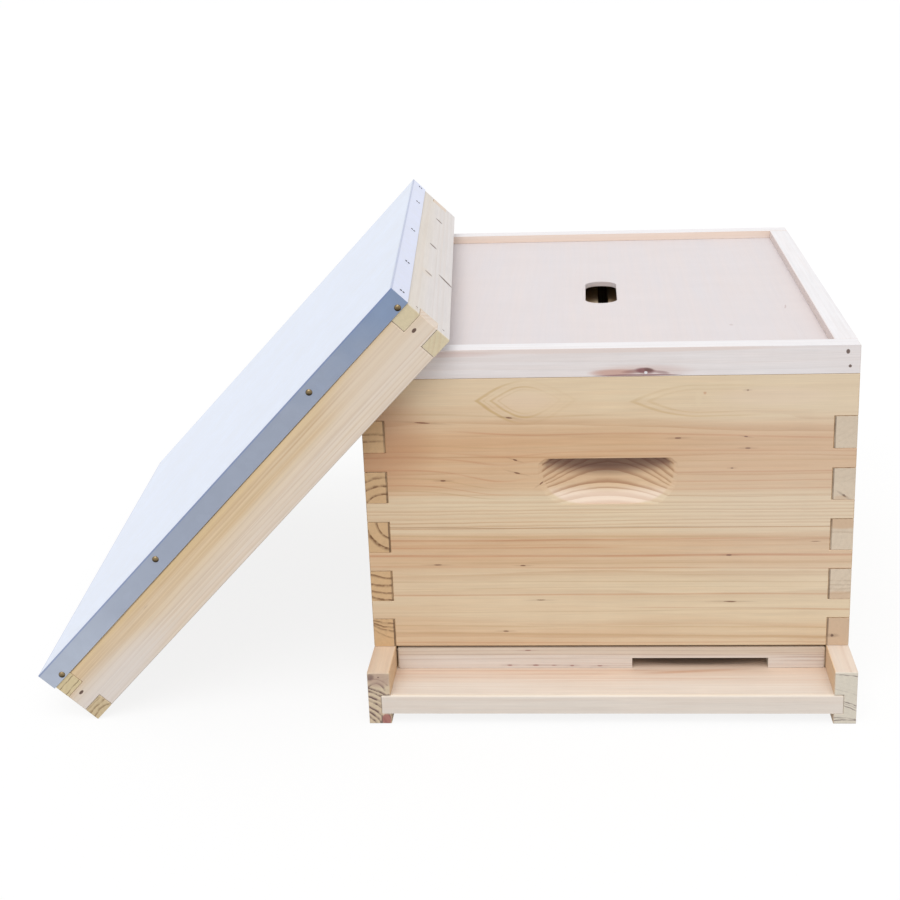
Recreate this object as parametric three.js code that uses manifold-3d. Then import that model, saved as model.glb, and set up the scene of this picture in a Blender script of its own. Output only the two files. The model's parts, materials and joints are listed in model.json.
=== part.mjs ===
// A ten-frame Langstroth beehive with its telescoping cover taken off and leaned on its left side.
// Millimetres, +Z up, the entrance faces -Y. The origin is under the middle of the whole object.

import * as THREE from "three";
import { mergeVertices } from "three/addons/utils/BufferGeometryUtils.js";
import Module from "manifold-3d";

const wasm = await Module();
wasm.setup();

// Fits
const jointGap = 0.2; // between boards that are glued and nailed
const seatGap = 0.3; // between pieces that lift apart
const cutOverrun = 5; // how far a cutting tool runs past the wood
const boardEase = 0.6; // eased edges of the thick boards
const slimEase = 0.4; // eased edges of the thin bars

// Brood box
const boxWidth = 413;
const boxLength = 508;
const boxHeight = 244.5;
const boxBoard = 19;
const sideFingerCount = 5;
const sideFingerHeight = 27.8;
const bottomFingerHeight = 25.9;
const topFingerHeight = 36.4;
const restHeight = 16;
const restDepth = 10;

// Handhold
const handholdWidth = 117.6;
const handholdTopWidth = 106;
const handholdFootWidth = 85;
const handholdHeight = 41.5;
const handholdBelowTop = 71;
const handholdDepth = 12;
const handholdFootDepth = 1.6;
const handholdBellyShare = 0.6;
const handholdShoulderShare = 0.85;
const handholdRisePower = 0.9;
const handholdLayers = 9;
const handholdArcSteps = 14;

// Bottom board
const railWidth = 19;
const railHeight = 48;
const landingLength = 51;
const floorThickness = 17;
const floorClearance = 9.6;
const grooveDepth = 8;
const landingRounding = 2;

// Entrance reducer
const reducerHeight = 19.4;
const reducerThickness = 19;
const reducerEndGap = 0.8;
const reducerAside = 0.4; // pushed towards the right rail
const reducerRounding = 1.2;
const entranceWidth = 118;
const entranceHeight = 9.4;
const entranceOffset = 79;
const smallEntranceWidth = 22;
const smallEntranceOffset = -70;

// Inner cover
const innerRimWidth = 19;
const innerRimHeight = 24;
const innerRecess = 8;
const panelThickness = 5;
const panelTongue = 8;
const holeWidth = 30;
const holeLength = 92;
const holeOffsetX = -2.5;
const holeOffsetY = -15.5;

// Outer cover
const coverBoard = 19.5;
const coverSlack = 4.8;
const coverRimHeight = 46;
const coverDeckThickness = 17;
const coverLowFinger = 13.6;
const coverMiddleFinger = 18.7;
const sheetThickness = 0.6;
const sheetGap = 0.3;
const skirtHeight = 18;

// How the outer cover leans: turned a little, with the hive's corner just inside its front rim
const coverTurn = THREE.MathUtils.degToRad(4.2);
const coverCornerGap = 5.74;

// Frames
const topBarWidth = 25;
const topBarDepth = 22;
const topBarWaist = 22;
const lugThickness = 9.5;
const lugEndGap = 4;
const endSpace = 11.5;
const endBarWidth = 34.7;
const endBarFootWidth = 28.6;
const endBarThickness = 9.5;
const endBarShoulder = 95;
const endBarTaper = 16;
const endBarTipDrop = 1;
const besideGap = 0.3;
const footSpace = 6.3;
const bottomBarWidth = 19;
const bottomBarDepth = 9.5;
const foundationGrooveWidth = 3;
const foundationGrooveDepth = 4;
const wireHoleDiameter = 3;
const wireHoleCount = 4;
const wireHoleMargin = 22;
const wireHoleSides = 8;

// Levels and faces that the pieces share
const boxHalfX = boxWidth / 2;
const boxHalfY = boxLength / 2;
const insideHalfX = boxHalfX - boxBoard;
const insideHalfY = boxHalfY - boxBoard;
const floorTop = floorClearance + floorThickness;
const boxBottom = railHeight + seatGap;
const boxTop = boxBottom + boxHeight;
const innerCoverBottom = boxTop + seatGap;
const innerCoverTop = innerCoverBottom + innerRimHeight;
const frameTop = boxTop - restHeight + seatGap + lugThickness;
const frameBottom = boxBottom + footSpace;
const frameOuterHalfY = insideHalfY - endSpace;
const framePitch = endBarWidth + besideGap;
const frameCount = Math.floor((2 * insideHalfX) / framePitch);

// Finishes
const finishes = {
  pine: { color: 0xdcbd8c, roughness: 0.62 },
  palePine: { color: 0xe4d2bd, roughness: 0.66 },
  whiteWood: { color: 0xece2da, roughness: 0.7 },
  plywood: { color: 0xe3dad5, roughness: 0.72 },
  coverPine: { color: 0xe2c593, roughness: 0.6 },
  frameWood: { color: 0xe0c79a, roughness: 0.64 },
  galvanised: { color: 0xc3cad6, roughness: 0.38, metalness: 0.9 },
};
const materials = Object.fromEntries(
  Object.entries(finishes).map(([name, look]) => [name, new THREE.MeshStandardMaterial(look)]),
);

// The solid of a closed geometry
function solidOf(geometry) {
  const bare = geometry.clone();
  bare.deleteAttribute("normal");
  bare.deleteAttribute("uv");
  const merged = mergeVertices(bare);
  return new wasm.Manifold(
    new wasm.Mesh({
      numProp: 3,
      vertProperties: merged.attributes.position.array,
      triVerts: new Uint32Array(merged.index.array),
    }),
  );
}

// The geometry of a solid
function geometryOf(solid) {
  const mesh = solid.getMesh();
  const geometry = new THREE.BufferGeometry();
  geometry.setAttribute("position", new THREE.BufferAttribute(mesh.vertProperties, 3));
  geometry.setIndex(new THREE.BufferAttribute(mesh.triVerts, 1));
  geometry.computeVertexNormals();
  return geometry;
}

// A geometry with some others cut out of it
function cutFrom(geometry, cutters) {
  return geometryOf(cutters.reduce((left, cutter) => left.subtract(solidOf(cutter)), solidOf(geometry)));
}

// A plain block between two corners, used to cut
function block(low, high) {
  const size = new THREE.Vector3().subVectors(high, low);
  const middle = new THREE.Vector3().addVectors(low, high).multiplyScalar(0.5);
  return new THREE.BoxGeometry(size.x, size.y, size.z).translate(middle.x, middle.y, middle.z);
}

function vec(x, y, z) {
  return new THREE.Vector3(x, y, z);
}

function shapeOf(points) {
  return new THREE.Shape(points.map(([x, y]) => new THREE.Vector2(x, y)));
}

// An outline carried along +Z from 0 to a length, with all its edges eased
function easedExtrusion(shape, length, ease, curveSegments = 6) {
  const geometry = new THREE.ExtrudeGeometry(shape, {
    depth: length - 2 * ease,
    curveSegments,
    bevelEnabled: true,
    bevelThickness: ease,
    bevelSize: ease,
    bevelOffset: -ease,
    bevelSegments: 1,
  });
  return geometry.translate(0, 0, ease);
}

// An extrusion whose outline lies in X and Z, and which runs along +Y from a place
function alongY(shape, from, to, ease) {
  const geometry = easedExtrusion(shape, to - from, ease);
  return geometry.rotateX(Math.PI / 2).translate(0, to, 0);
}

// An extrusion whose outline lies in Y and Z, and which runs along +X from a place
function alongX(shape, from, to, ease) {
  const geometry = easedExtrusion(shape, to - from, ease);
  return geometry.rotateX(Math.PI / 2).rotateZ(Math.PI / 2).translate(from, 0, 0);
}

function rectangle(x0, x1, y0, y1) {
  return shapeOf([
    [x0, y0],
    [x1, y0],
    [x1, y1],
    [x0, y1],
  ]);
}

// The outline of a jointed board: it reaches outer in the given bands of its height, and
// only shoulder between them
function fingeredOutline(shoulder, outer, low, high, bands) {
  const right = [];
  let level = low;
  for (const [from, to] of bands) {
    if (from > level) right.push([shoulder, level], [shoulder, from]);
    right.push([outer, from], [outer, to]);
    level = to;
  }
  if (level < high) right.push([shoulder, level], [shoulder, high]);
  const left = right.map(([x, z]) => [-x, z]).reverse();
  return shapeOf([...right, ...left]);
}

// The heights of the side boards' fingers, from the bottom of the box up. The lowest is cut short.
function sideFingerBands() {
  const fingers = bottomFingerHeight + (sideFingerCount - 1) * sideFingerHeight;
  const gap = (boxHeight - topFingerHeight - fingers) / (sideFingerCount - 1);
  const bands = [[boxBottom, boxBottom + bottomFingerHeight]];
  while (bands.length < sideFingerCount) {
    const from = bands.at(-1)[1] + gap;
    bands.push([from, from + sideFingerHeight]);
  }
  return bands;
}

// The bands left between the given ones, each drawn back by the joint's gap
function bandsBetween(bands, low, high) {
  const edges = [low, ...bands.flat(), high];
  const between = [];
  for (let i = 0; i < edges.length; i += 2) {
    if (edges[i + 1] > edges[i]) {
      const from = i === 0 ? edges[i] : edges[i] + jointGap;
      const to = i + 2 === edges.length ? edges[i + 1] : edges[i + 1] - jointGap;
      between.push([from, to]);
    }
  }
  return between;
}

// The cutter of a scooped handhold. Its layers are arcs that widen from the foot to the belly
// and draw in at the shoulders, and that deepen upwards. X runs along the board, Y into it.
function handholdCutter() {
  const foot = boxTop - handholdBelowTop - handholdHeight;
  const rings = [];
  for (let layer = 0; layer < handholdLayers; layer += 1) {
    const share = layer / (handholdLayers - 1);
    const below = Math.max(0, 1 - share / handholdBellyShare);
    const above = Math.max(0, (share - handholdShoulderShare) / (1 - handholdShoulderShare));
    const narrowing =
      (handholdWidth - handholdFootWidth) * below ** 2 + (handholdWidth - handholdTopWidth) * above ** 2;
    const half = (handholdWidth - narrowing) / 2;
    const rise = Math.sin((share * Math.PI) / 2) ** handholdRisePower;
    const depth = handholdFootDepth + (handholdDepth - handholdFootDepth) * rise;
    rings.push(arcRing(half, depth, foot + share * handholdHeight));
  }
  return loft(rings);
}

// One layer of the handhold: an arc of the given half chord and depth, closed outside the board
function arcRing(half, depth, height) {
  const radius = (half ** 2 + depth ** 2) / (2 * depth);
  const spread = Math.asin(half / radius);
  const ring = [vec(-half, -cutOverrun, height), vec(half, -cutOverrun, height)];
  for (let step = 0; step <= handholdArcSteps; step += 1) {
    const angle = spread - (2 * spread * step) / handholdArcSteps;
    ring.push(vec(radius * Math.sin(angle), radius * Math.cos(angle) - radius + depth, height));
  }
  return ring;
}

// A closed surface through rings of equally many points, each ring flat and lower than the next
function loft(rings) {
  const count = rings[0].length;
  const positions = rings.flat().flatMap((point) => point.toArray());
  const index = [];
  for (let layer = 0; layer + 1 < rings.length; layer += 1) {
    for (let i = 0; i < count; i += 1) {
      const a = layer * count + i;
      const b = layer * count + ((i + 1) % count);
      index.push(a, b, b + count, a, b + count, a + count);
    }
  }
  const top = (rings.length - 1) * count;
  const outline = rings[0].map((point) => new THREE.Vector2(point.x, point.y));
  const topOutline = rings.at(-1).map((point) => new THREE.Vector2(point.x, point.y));
  for (const [a, b, c] of THREE.ShapeUtils.triangulateShape(outline, [])) index.push(a, c, b);
  for (const [a, b, c] of THREE.ShapeUtils.triangulateShape(topOutline, [])) {
    index.push(top + a, top + b, top + c);
  }
  const geometry = new THREE.BufferGeometry();
  geometry.setAttribute("position", new THREE.Float32BufferAttribute(positions, 3));
  geometry.setIndex(index);
  return geometry;
}

// Brood box: front and back boards carry the frame rests, and the side boards' fingers show on them
function addBox(group) {
  const sideBands = sideFingerBands();
  const frontBands = bandsBetween(sideBands, boxBottom, boxTop);
  const front = fingeredOutline(insideHalfX - jointGap, boxHalfX, boxBottom, boxTop, frontBands);
  const side = fingeredOutline(insideHalfY - jointGap, boxHalfY, boxBottom, boxTop, sideBands);
  const rest = block(
    vec(-insideHalfX, insideHalfY - cutOverrun, boxTop - restHeight),
    vec(insideHalfX, insideHalfY + restDepth, boxTop + cutOverrun),
  );
  const endBoard = alongY(front, insideHalfY, boxHalfY, boardEase);
  const endScoop = handholdCutter().rotateZ(Math.PI).translate(0, boxHalfY, 0);
  const back = cutFrom(endBoard, [rest, endScoop]);
  const sideBoard = alongX(side, insideHalfX, boxHalfX, boardEase);
  const sideScoop = handholdCutter().rotateZ(Math.PI / 2).translate(boxHalfX, 0, 0);
  const right = cutFrom(sideBoard, [sideScoop]);
  addPiece(group, "back_board", back, "pine");
  addPiece(group, "front_board", back.clone().rotateZ(Math.PI), "pine");
  addPiece(group, "right_board", right, "pine");
  addPiece(group, "left_board", right.clone().rotateZ(Math.PI), "pine");
}

// Bottom board: two grooved rails, the floor in their grooves, and a cleat that closes the back
function addBottomBoard(group) {
  const inner = boxHalfX - railWidth;
  const landingFront = -boxHalfY - landingLength;
  const grooveLow = floorClearance - jointGap;
  const grooveHigh = floorTop + jointGap;
  const railOutline = shapeOf([
    [inner, 0],
    [boxHalfX, 0],
    [boxHalfX, railHeight],
    [inner, railHeight],
    [inner, grooveHigh],
    [inner + grooveDepth, grooveHigh],
    [inner + grooveDepth, grooveLow],
    [inner, grooveLow],
  ]);
  const rail = alongY(railOutline, landingFront, boxHalfY, boardEase);
  addPiece(group, "right_rail", rail, "palePine");
  addPiece(group, "left_rail", rail.clone().rotateZ(Math.PI).translate(0, -landingLength, 0), "palePine");

  const floorHalf = inner + grooveDepth - jointGap;
  const floorOutline = new THREE.Shape();
  floorOutline.moveTo(boxHalfY, floorClearance);
  floorOutline.lineTo(boxHalfY, floorTop);
  floorOutline.lineTo(landingFront + landingRounding, floorTop);
  floorOutline.absarc(
    landingFront + landingRounding,
    floorTop - landingRounding,
    landingRounding,
    Math.PI / 2,
    Math.PI,
    false,
  );
  floorOutline.lineTo(landingFront, floorClearance);
  addPiece(group, "floor_board", alongX(floorOutline, -floorHalf, floorHalf, slimEase), "palePine");

  const cleat = rectangle(insideHalfY, boxHalfY, floorTop + jointGap, railHeight);
  addPiece(group, "rear_cleat", alongX(cleat, -inner + jointGap, inner - jointGap, slimEase), "palePine");
}

// Entrance reducer: a round-edged bar with the long notch under it and the small one behind it
function addReducer(group) {
  const half = boxHalfX - railWidth - reducerEndGap;
  const front = -boxHalfY;
  const back = front + reducerThickness;
  const low = floorTop + seatGap;
  const outline = rectangle(front, back, low, low + reducerHeight);
  const bar = alongX(outline, reducerAside - half, reducerAside + half, reducerRounding);
  const longNotch = block(
    vec(entranceOffset - entranceWidth / 2, front - cutOverrun, low - cutOverrun),
    vec(entranceOffset + entranceWidth / 2, back + cutOverrun, low + entranceHeight),
  );
  const smallNotch = block(
    vec(smallEntranceOffset - smallEntranceWidth / 2, back - entranceHeight, low - cutOverrun),
    vec(smallEntranceOffset + smallEntranceWidth / 2, back + cutOverrun, low + reducerHeight + cutOverrun),
  );
  addPiece(group, "entrance_reducer", cutFrom(bar, [longNotch, smallNotch]), "palePine");
}

// Inner cover: four grooved rims round a thin panel with an obround hole
function addInnerCover(group) {
  const shoulderX = boxHalfX - innerRimWidth;
  const shoulderY = boxHalfY - innerRimWidth;
  const panelTop = innerCoverTop - innerRecess;
  const panelLow = panelTop - panelThickness;
  const groove = block(
    vec(-shoulderX - panelTongue, -shoulderY - panelTongue, panelLow - jointGap),
    vec(shoulderX + panelTongue, shoulderY + panelTongue, panelTop + jointGap),
  );
  const endRim = rectangle(shoulderY, boxHalfY, innerCoverBottom, innerCoverTop);
  const back = cutFrom(alongX(endRim, -boxHalfX, boxHalfX, boardEase), [groove]);
  const sideRim = rectangle(shoulderX, boxHalfX, innerCoverBottom, innerCoverTop);
  const right = cutFrom(alongY(sideRim, -shoulderY + jointGap, shoulderY - jointGap, boardEase), [groove]);
  addPiece(group, "inner_cover_back_rim", back, "whiteWood");
  addPiece(group, "inner_cover_front_rim", back.clone().rotateZ(Math.PI), "whiteWood");
  addPiece(group, "inner_cover_right_rim", right, "whiteWood");
  addPiece(group, "inner_cover_left_rim", right.clone().rotateZ(Math.PI), "whiteWood");

  const panelHalfX = shoulderX + panelTongue - jointGap;
  const panelHalfY = shoulderY + panelTongue - jointGap;
  const outline = rectangle(-panelHalfX, panelHalfX, -panelHalfY, panelHalfY);
  const radius = holeWidth / 2;
  const reach = holeLength / 2 - radius;
  const hole = new THREE.Path();
  hole.absarc(holeOffsetX, holeOffsetY + reach, radius, 0, Math.PI, false);
  hole.absarc(holeOffsetX, holeOffsetY - reach, radius, Math.PI, 2 * Math.PI, false);
  outline.holes.push(hole);
  const panel = easedExtrusion(outline, panelThickness, slimEase, 12).translate(0, 0, panelLow);
  addPiece(group, "inner_cover_panel", panel, "plywood");
}

// Outer cover, built flat with its lower front corner at the origin, then leaned on the hive:
// the upper rim hangs over the inner cover and the deck rests against its front left corner
function addOuterCover(group) {
  const lengthX = boxWidth + 2 * coverSlack + 2 * coverBoard;
  const lengthY = boxLength + 2 * coverSlack + 2 * coverBoard;
  const cover = new THREE.Group();
  addCoverRims(cover, lengthX, lengthY);
  addCoverTop(cover, lengthX, lengthY);

  const lean = Math.asin((innerCoverTop + seatGap) / (lengthX - coverBoard));
  const along = (Math.cos(lean) * innerCoverTop - coverRimHeight) / Math.sin(lean);
  const aside = coverBoard + coverCornerGap;
  const ahead = vec(along, aside, 0).applyAxisAngle(vec(0, 0, 1), coverTurn);
  const footLift = boardEase * Math.min(Math.sin(lean), Math.cos(lean));
  cover.rotation.set(0, -lean, coverTurn, "ZYX");
  cover.position.set(-boxHalfX - ahead.x, -boxHalfY - ahead.y, -footLift);
  group.add(cover);
}

// The four rim boards, with three fingers at each corner
function addCoverRims(cover, lengthX, lengthY) {
  const middle = [coverLowFinger, coverLowFinger + coverMiddleFinger];
  const outerBands = bandsBetween([middle], 0, coverRimHeight);
  const shoulderX = lengthX / 2 - coverBoard - seatGap;
  const shoulderY = lengthY / 2 - coverBoard - seatGap;
  const long = fingeredOutline(shoulderX, lengthX / 2, 0, coverRimHeight, [middle]);
  const short = fingeredOutline(shoulderY, lengthY / 2, 0, coverRimHeight, outerBands);
  const front = alongY(long, 0, coverBoard, boardEase).translate(lengthX / 2, 0, 0);
  const lower = alongX(short, 0, coverBoard, boardEase).translate(0, lengthY / 2, 0);
  const back = front.clone().translate(0, lengthY - coverBoard, 0);
  const upper = lower.clone().translate(lengthX - coverBoard, 0, 0);
  addPiece(cover, "cover_front_rim", front, "coverPine");
  addPiece(cover, "cover_back_rim", back, "coverPine");
  addPiece(cover, "cover_lower_rim", lower, "coverPine");
  addPiece(cover, "cover_upper_rim", upper, "coverPine");
}

// The deck on the rims, and the metal cap folded over it
function addCoverTop(cover, lengthX, lengthY) {
  const deckLow = coverRimHeight + seatGap;
  const deckHigh = deckLow + coverDeckThickness;
  const deck = easedExtrusion(rectangle(0, lengthX, 0, lengthY), coverDeckThickness, boardEase);
  addPiece(cover, "cover_deck", deck.translate(0, 0, deckLow), "coverPine");

  const out = sheetGap + sheetThickness;
  const top = deckHigh + out;
  const cap = block(vec(-out, -out, top - skirtHeight), vec(lengthX + out, lengthY + out, top));
  const hollow = block(
    vec(-sheetGap, -sheetGap, top - skirtHeight - cutOverrun),
    vec(lengthX + sheetGap, lengthY + sheetGap, deckHigh + sheetGap),
  );
  addPiece(cover, "cover_metal_sheet", cutFrom(cap, [hollow]), "galvanised");
}

// Frames hang by their lugs side by side, centred in the box
function addFrames(group) {
  const topBar = topBarGeometry();
  const endBar = endBarGeometry();
  const bottomBar = bottomBarGeometry();
  for (let i = 0; i < frameCount; i += 1) {
    const frame = new THREE.Group();
    const name = "frame_" + String(i + 1).padStart(2, "0");
    addPiece(frame, name + "_top_bar", topBar.clone(), "frameWood");
    addPiece(frame, name + "_back_end_bar", endBar.clone(), "frameWood");
    addPiece(frame, name + "_front_end_bar", endBar.clone().rotateZ(Math.PI), "frameWood");
    addPiece(frame, name + "_bottom_bar", bottomBar.clone(), "frameWood");
    frame.position.x = (i - (frameCount - 1) / 2) * framePitch;
    group.add(frame);
  }
}

// Top bar: lugs cut down from above the rests, waists that the end bars clasp, and the
// groove for the foundation
function topBarGeometry() {
  const half = insideHalfY + restDepth - lugEndGap;
  const low = frameTop - topBarDepth;
  const lugLow = frameTop - lugThickness;
  const outline = shapeOf([
    [frameOuterHalfY, low],
    [frameOuterHalfY, lugLow],
    [half, lugLow],
    [half, frameTop],
    [-half, frameTop],
    [-half, lugLow],
    [-frameOuterHalfY, lugLow],
    [-frameOuterHalfY, low],
  ]);
  const bar = alongX(outline, -topBarWidth / 2, topBarWidth / 2, slimEase);
  const waistFrom = frameOuterHalfY - endBarThickness - jointGap;
  const cutters = [];
  for (const x of [-1, 1]) {
    for (const y of [-1, 1]) {
      const corners = new THREE.Box3().setFromPoints([
        vec((x * topBarWaist) / 2, y * waistFrom, low - cutOverrun),
        vec(x * (topBarWidth / 2 + cutOverrun), y * (frameOuterHalfY + jointGap), frameTop + cutOverrun),
      ]);
      cutters.push(block(corners.min, corners.max));
    }
  }
  const inner = waistFrom - jointGap;
  cutters.push(
    block(
      vec(-foundationGrooveWidth / 2, -inner, low - cutOverrun),
      vec(foundationGrooveWidth / 2, inner, low + foundationGrooveDepth),
    ),
  );
  return cutFrom(bar, cutters);
}

// End bar: a fork that clasps the top bar, wide shoulders that space the frames, a taper to the
// foot, a slot for the bottom bar and a row of holes for the wires
function endBarGeometry() {
  const wide = endBarWidth / 2;
  const narrow = endBarFootWidth / 2;
  const fork = topBarWaist / 2 + jointGap;
  const slot = bottomBarWidth / 2 + jointGap;
  const tip = frameTop - endBarTipDrop;
  const seat = frameTop - topBarDepth - jointGap;
  const slotTop = frameBottom + bottomBarDepth + jointGap;
  const shoulder = frameTop - endBarShoulder;
  const outline = shapeOf([
    [narrow, frameBottom],
    [narrow, shoulder - endBarTaper],
    [wide, shoulder],
    [wide, tip],
    [fork, tip],
    [fork, seat],
    [-fork, seat],
    [-fork, tip],
    [-wide, tip],
    [-wide, shoulder],
    [-narrow, shoulder - endBarTaper],
    [-narrow, frameBottom],
    [-slot, frameBottom],
    [-slot, slotTop],
    [slot, slotTop],
    [slot, frameBottom],
  ]);
  const lowest = slotTop + wireHoleMargin;
  const highest = seat - wireHoleMargin;
  for (let i = 0; i < wireHoleCount; i += 1) {
    const level = lowest + ((highest - lowest) * i) / (wireHoleCount - 1);
    const hole = new THREE.Path();
    for (let side = 0; side < wireHoleSides; side += 1) {
      const angle = (2 * Math.PI * side) / wireHoleSides;
      const x = (wireHoleDiameter / 2) * Math.cos(angle);
      const z = level + (wireHoleDiameter / 2) * Math.sin(angle);
      if (side === 0) hole.moveTo(x, z);
      else hole.lineTo(x, z);
    }
    hole.closePath();
    outline.holes.push(hole);
  }
  return alongY(outline, frameOuterHalfY - endBarThickness, frameOuterHalfY, slimEase);
}

// Bottom bar: held in the feet of the end bars, with the groove for the foundation
function bottomBarGeometry() {
  const half = bottomBarWidth / 2;
  const grooveHalf = foundationGrooveWidth / 2;
  const top = frameBottom + bottomBarDepth;
  const outline = shapeOf([
    [-half, frameBottom],
    [half, frameBottom],
    [half, top],
    [grooveHalf, top],
    [grooveHalf, top - foundationGrooveDepth],
    [-grooveHalf, top - foundationGrooveDepth],
    [-grooveHalf, top],
    [-half, top],
  ]);
  return alongY(outline, -frameOuterHalfY, frameOuterHalfY, slimEase);
}

function addPiece(group, name, geometry, finish) {
  const mesh = new THREE.Mesh(geometry, materials[finish]);
  mesh.name = name;
  group.add(mesh);
}

// The whole object, with its origin moved to the middle of its footprint
function buildHive() {
  const hive = new THREE.Group();
  addBox(hive);
  addBottomBoard(hive);
  addReducer(hive);
  addInnerCover(hive);
  addOuterCover(hive);
  addFrames(hive);
  hive.updateMatrixWorld(true);
  const extent = new THREE.Box3().setFromObject(hive, true);
  const middle = extent.getCenter(new THREE.Vector3());
  hive.position.set(-middle.x, -middle.y, -extent.min.z);
  const object = new THREE.Group();
  object.add(hive);
  return object;
}

export default buildHive();
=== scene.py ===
"""Dresses a ten-frame beehive whose cover leans on its side: woods cut from the log, a folded
galvanised cap, nails, and wired wax foundation in every frame. Metres, +Z up, entrance at -Y."""
import dataclasses
import json
import math
from typing import NamedTuple

import bpy
import numpy as np
from bpy.props import FloatProperty, FloatVectorProperty, PointerProperty
from mathutils import Matrix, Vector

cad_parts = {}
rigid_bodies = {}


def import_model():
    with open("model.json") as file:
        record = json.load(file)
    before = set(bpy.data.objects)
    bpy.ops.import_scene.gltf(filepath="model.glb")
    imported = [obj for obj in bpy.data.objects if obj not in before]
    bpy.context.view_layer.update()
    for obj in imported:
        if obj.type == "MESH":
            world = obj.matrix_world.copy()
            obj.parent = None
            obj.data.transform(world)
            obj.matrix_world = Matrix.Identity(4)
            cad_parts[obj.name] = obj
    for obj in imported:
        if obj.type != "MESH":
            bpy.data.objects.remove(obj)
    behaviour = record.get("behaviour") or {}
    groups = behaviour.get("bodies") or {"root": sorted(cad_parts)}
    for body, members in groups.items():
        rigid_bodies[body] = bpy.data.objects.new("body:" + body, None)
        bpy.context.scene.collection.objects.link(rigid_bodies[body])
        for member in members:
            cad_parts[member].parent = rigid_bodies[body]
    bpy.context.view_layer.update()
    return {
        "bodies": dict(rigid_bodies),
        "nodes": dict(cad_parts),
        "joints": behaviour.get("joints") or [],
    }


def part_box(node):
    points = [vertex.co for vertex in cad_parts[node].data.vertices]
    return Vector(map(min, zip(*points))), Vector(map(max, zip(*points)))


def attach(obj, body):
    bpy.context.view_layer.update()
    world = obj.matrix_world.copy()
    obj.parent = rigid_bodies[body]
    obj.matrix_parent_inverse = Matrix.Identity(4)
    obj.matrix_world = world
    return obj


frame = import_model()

bl_info = {
    "name": "Ten-Frame Hive",
    "version": (1, 0, 0),
    "blender": (4, 5, 0),
    "location": "3D View > Sidebar > Hive",
    "description": "Woods, metal, nails and wax foundation of a ten-frame beehive",
    "category": "Object",
}

MM = 0.001
AXIS_X = np.array((1.0, 0.0, 0.0))
AXIS_Y = np.array((0.0, 1.0, 0.0))
AXIS_Z = np.array((0.0, 0.0, 1.0))


# Places taken from the CAD frame


def corners(*names):
    """Lowest and highest corner of some CAD nodes together."""
    boxes = [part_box(name) for name in names]
    low = np.min([np.array(box[0]) for box in boxes], axis=0)
    high = np.max([np.array(box[1]) for box in boxes], axis=0)
    return low, high


def vertices(name):
    """The places of a CAD node's vertices."""
    mesh = frame["nodes"][name].data
    flat = np.empty(len(mesh.vertices) * 3)
    mesh.vertices.foreach_get("co", flat)
    return flat.reshape(-1, 3)


def cover_axes():
    """The leaning cover's own axes: up its slope, along its other side, and out of its top."""
    lift = next(joint for joint in frame["joints"] if joint["name"] == "outer_cover_lift")
    out = np.array(lift["axis"], float)
    out /= np.linalg.norm(out)
    side = np.array((out[1], -out[0], 0.0))
    side /= np.linalg.norm(side)
    return np.cross(side, out), side, out


class Board:
    """A board's own measures: its grain runs along, its width across, and its depth is taken
    inwards from the face that looks out."""

    def __init__(self, name, along, across, out):
        places = vertices(name)
        self.along = along
        self.across = across
        self.out = out
        self.along_from = (places @ along).min()
        self.across_from = (places @ across).min()
        self.depth_from = (places @ out).max()
        self.length = np.ptp(places @ along)
        self.width = np.ptp(places @ across)
        self.thickness = np.ptp(places @ out)


# Colours


def tone(code):
    """The linear colour of a screen colour written as 0xRRGGBB."""
    shares = [((code >> shift) & 255) / 255 for shift in (16, 8, 0)]
    return tuple(s / 12.92 if s <= 0.04045 else ((s + 0.055) / 1.055) ** 2.4 for s in shares)


def colour(name, description, code):
    """A colour property with its default."""
    return FloatVectorProperty(
        name=name, description=description, subtype="COLOR", size=3, min=0, max=1, default=tone(code)
    )


def length(name, description, default):
    """A length property with its default, in metres."""
    return FloatProperty(name=name, description=description, unit="LENGTH", default=default, min=0)


def bearing(name, description, degrees):
    """An angle property with its default, given in degrees."""
    turn = math.radians(degrees)
    return FloatProperty(name=name, description=description, subtype="ANGLE", default=turn)


def location(name, description, default):
    """A place property with its default, in metres."""
    return FloatVectorProperty(
        name=name, description=description, subtype="TRANSLATION", size=3, default=default
    )


def amount(name, description, default, **limits):
    """A plain number property with its default, never under 0."""
    return FloatProperty(name=name, description=description, default=default, **{"min": 0, **limits})


def opaque(rgb):
    """A colour with its alpha."""
    return (*rgb, 1.0)


# Shader nodes


class Wire:
    """A socket on its way through a material, with the sums that the finishes use."""

    def __init__(self, finish, socket):
        self.finish = finish
        self.socket = socket

    def __add__(self, other):
        return self.finish.maths("ADD", self, other)

    def __sub__(self, other):
        return self.finish.maths("SUBTRACT", self, other)

    def __rsub__(self, other):
        return self.finish.maths("SUBTRACT", other, self)

    def __mul__(self, other):
        return self.finish.maths("MULTIPLY", self, other)

    def __truediv__(self, other):
        return self.finish.maths("DIVIDE", self, other)

    def __pow__(self, other):
        return self.finish.maths("POWER", self, other)

    __radd__ = __add__
    __rmul__ = __mul__


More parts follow.
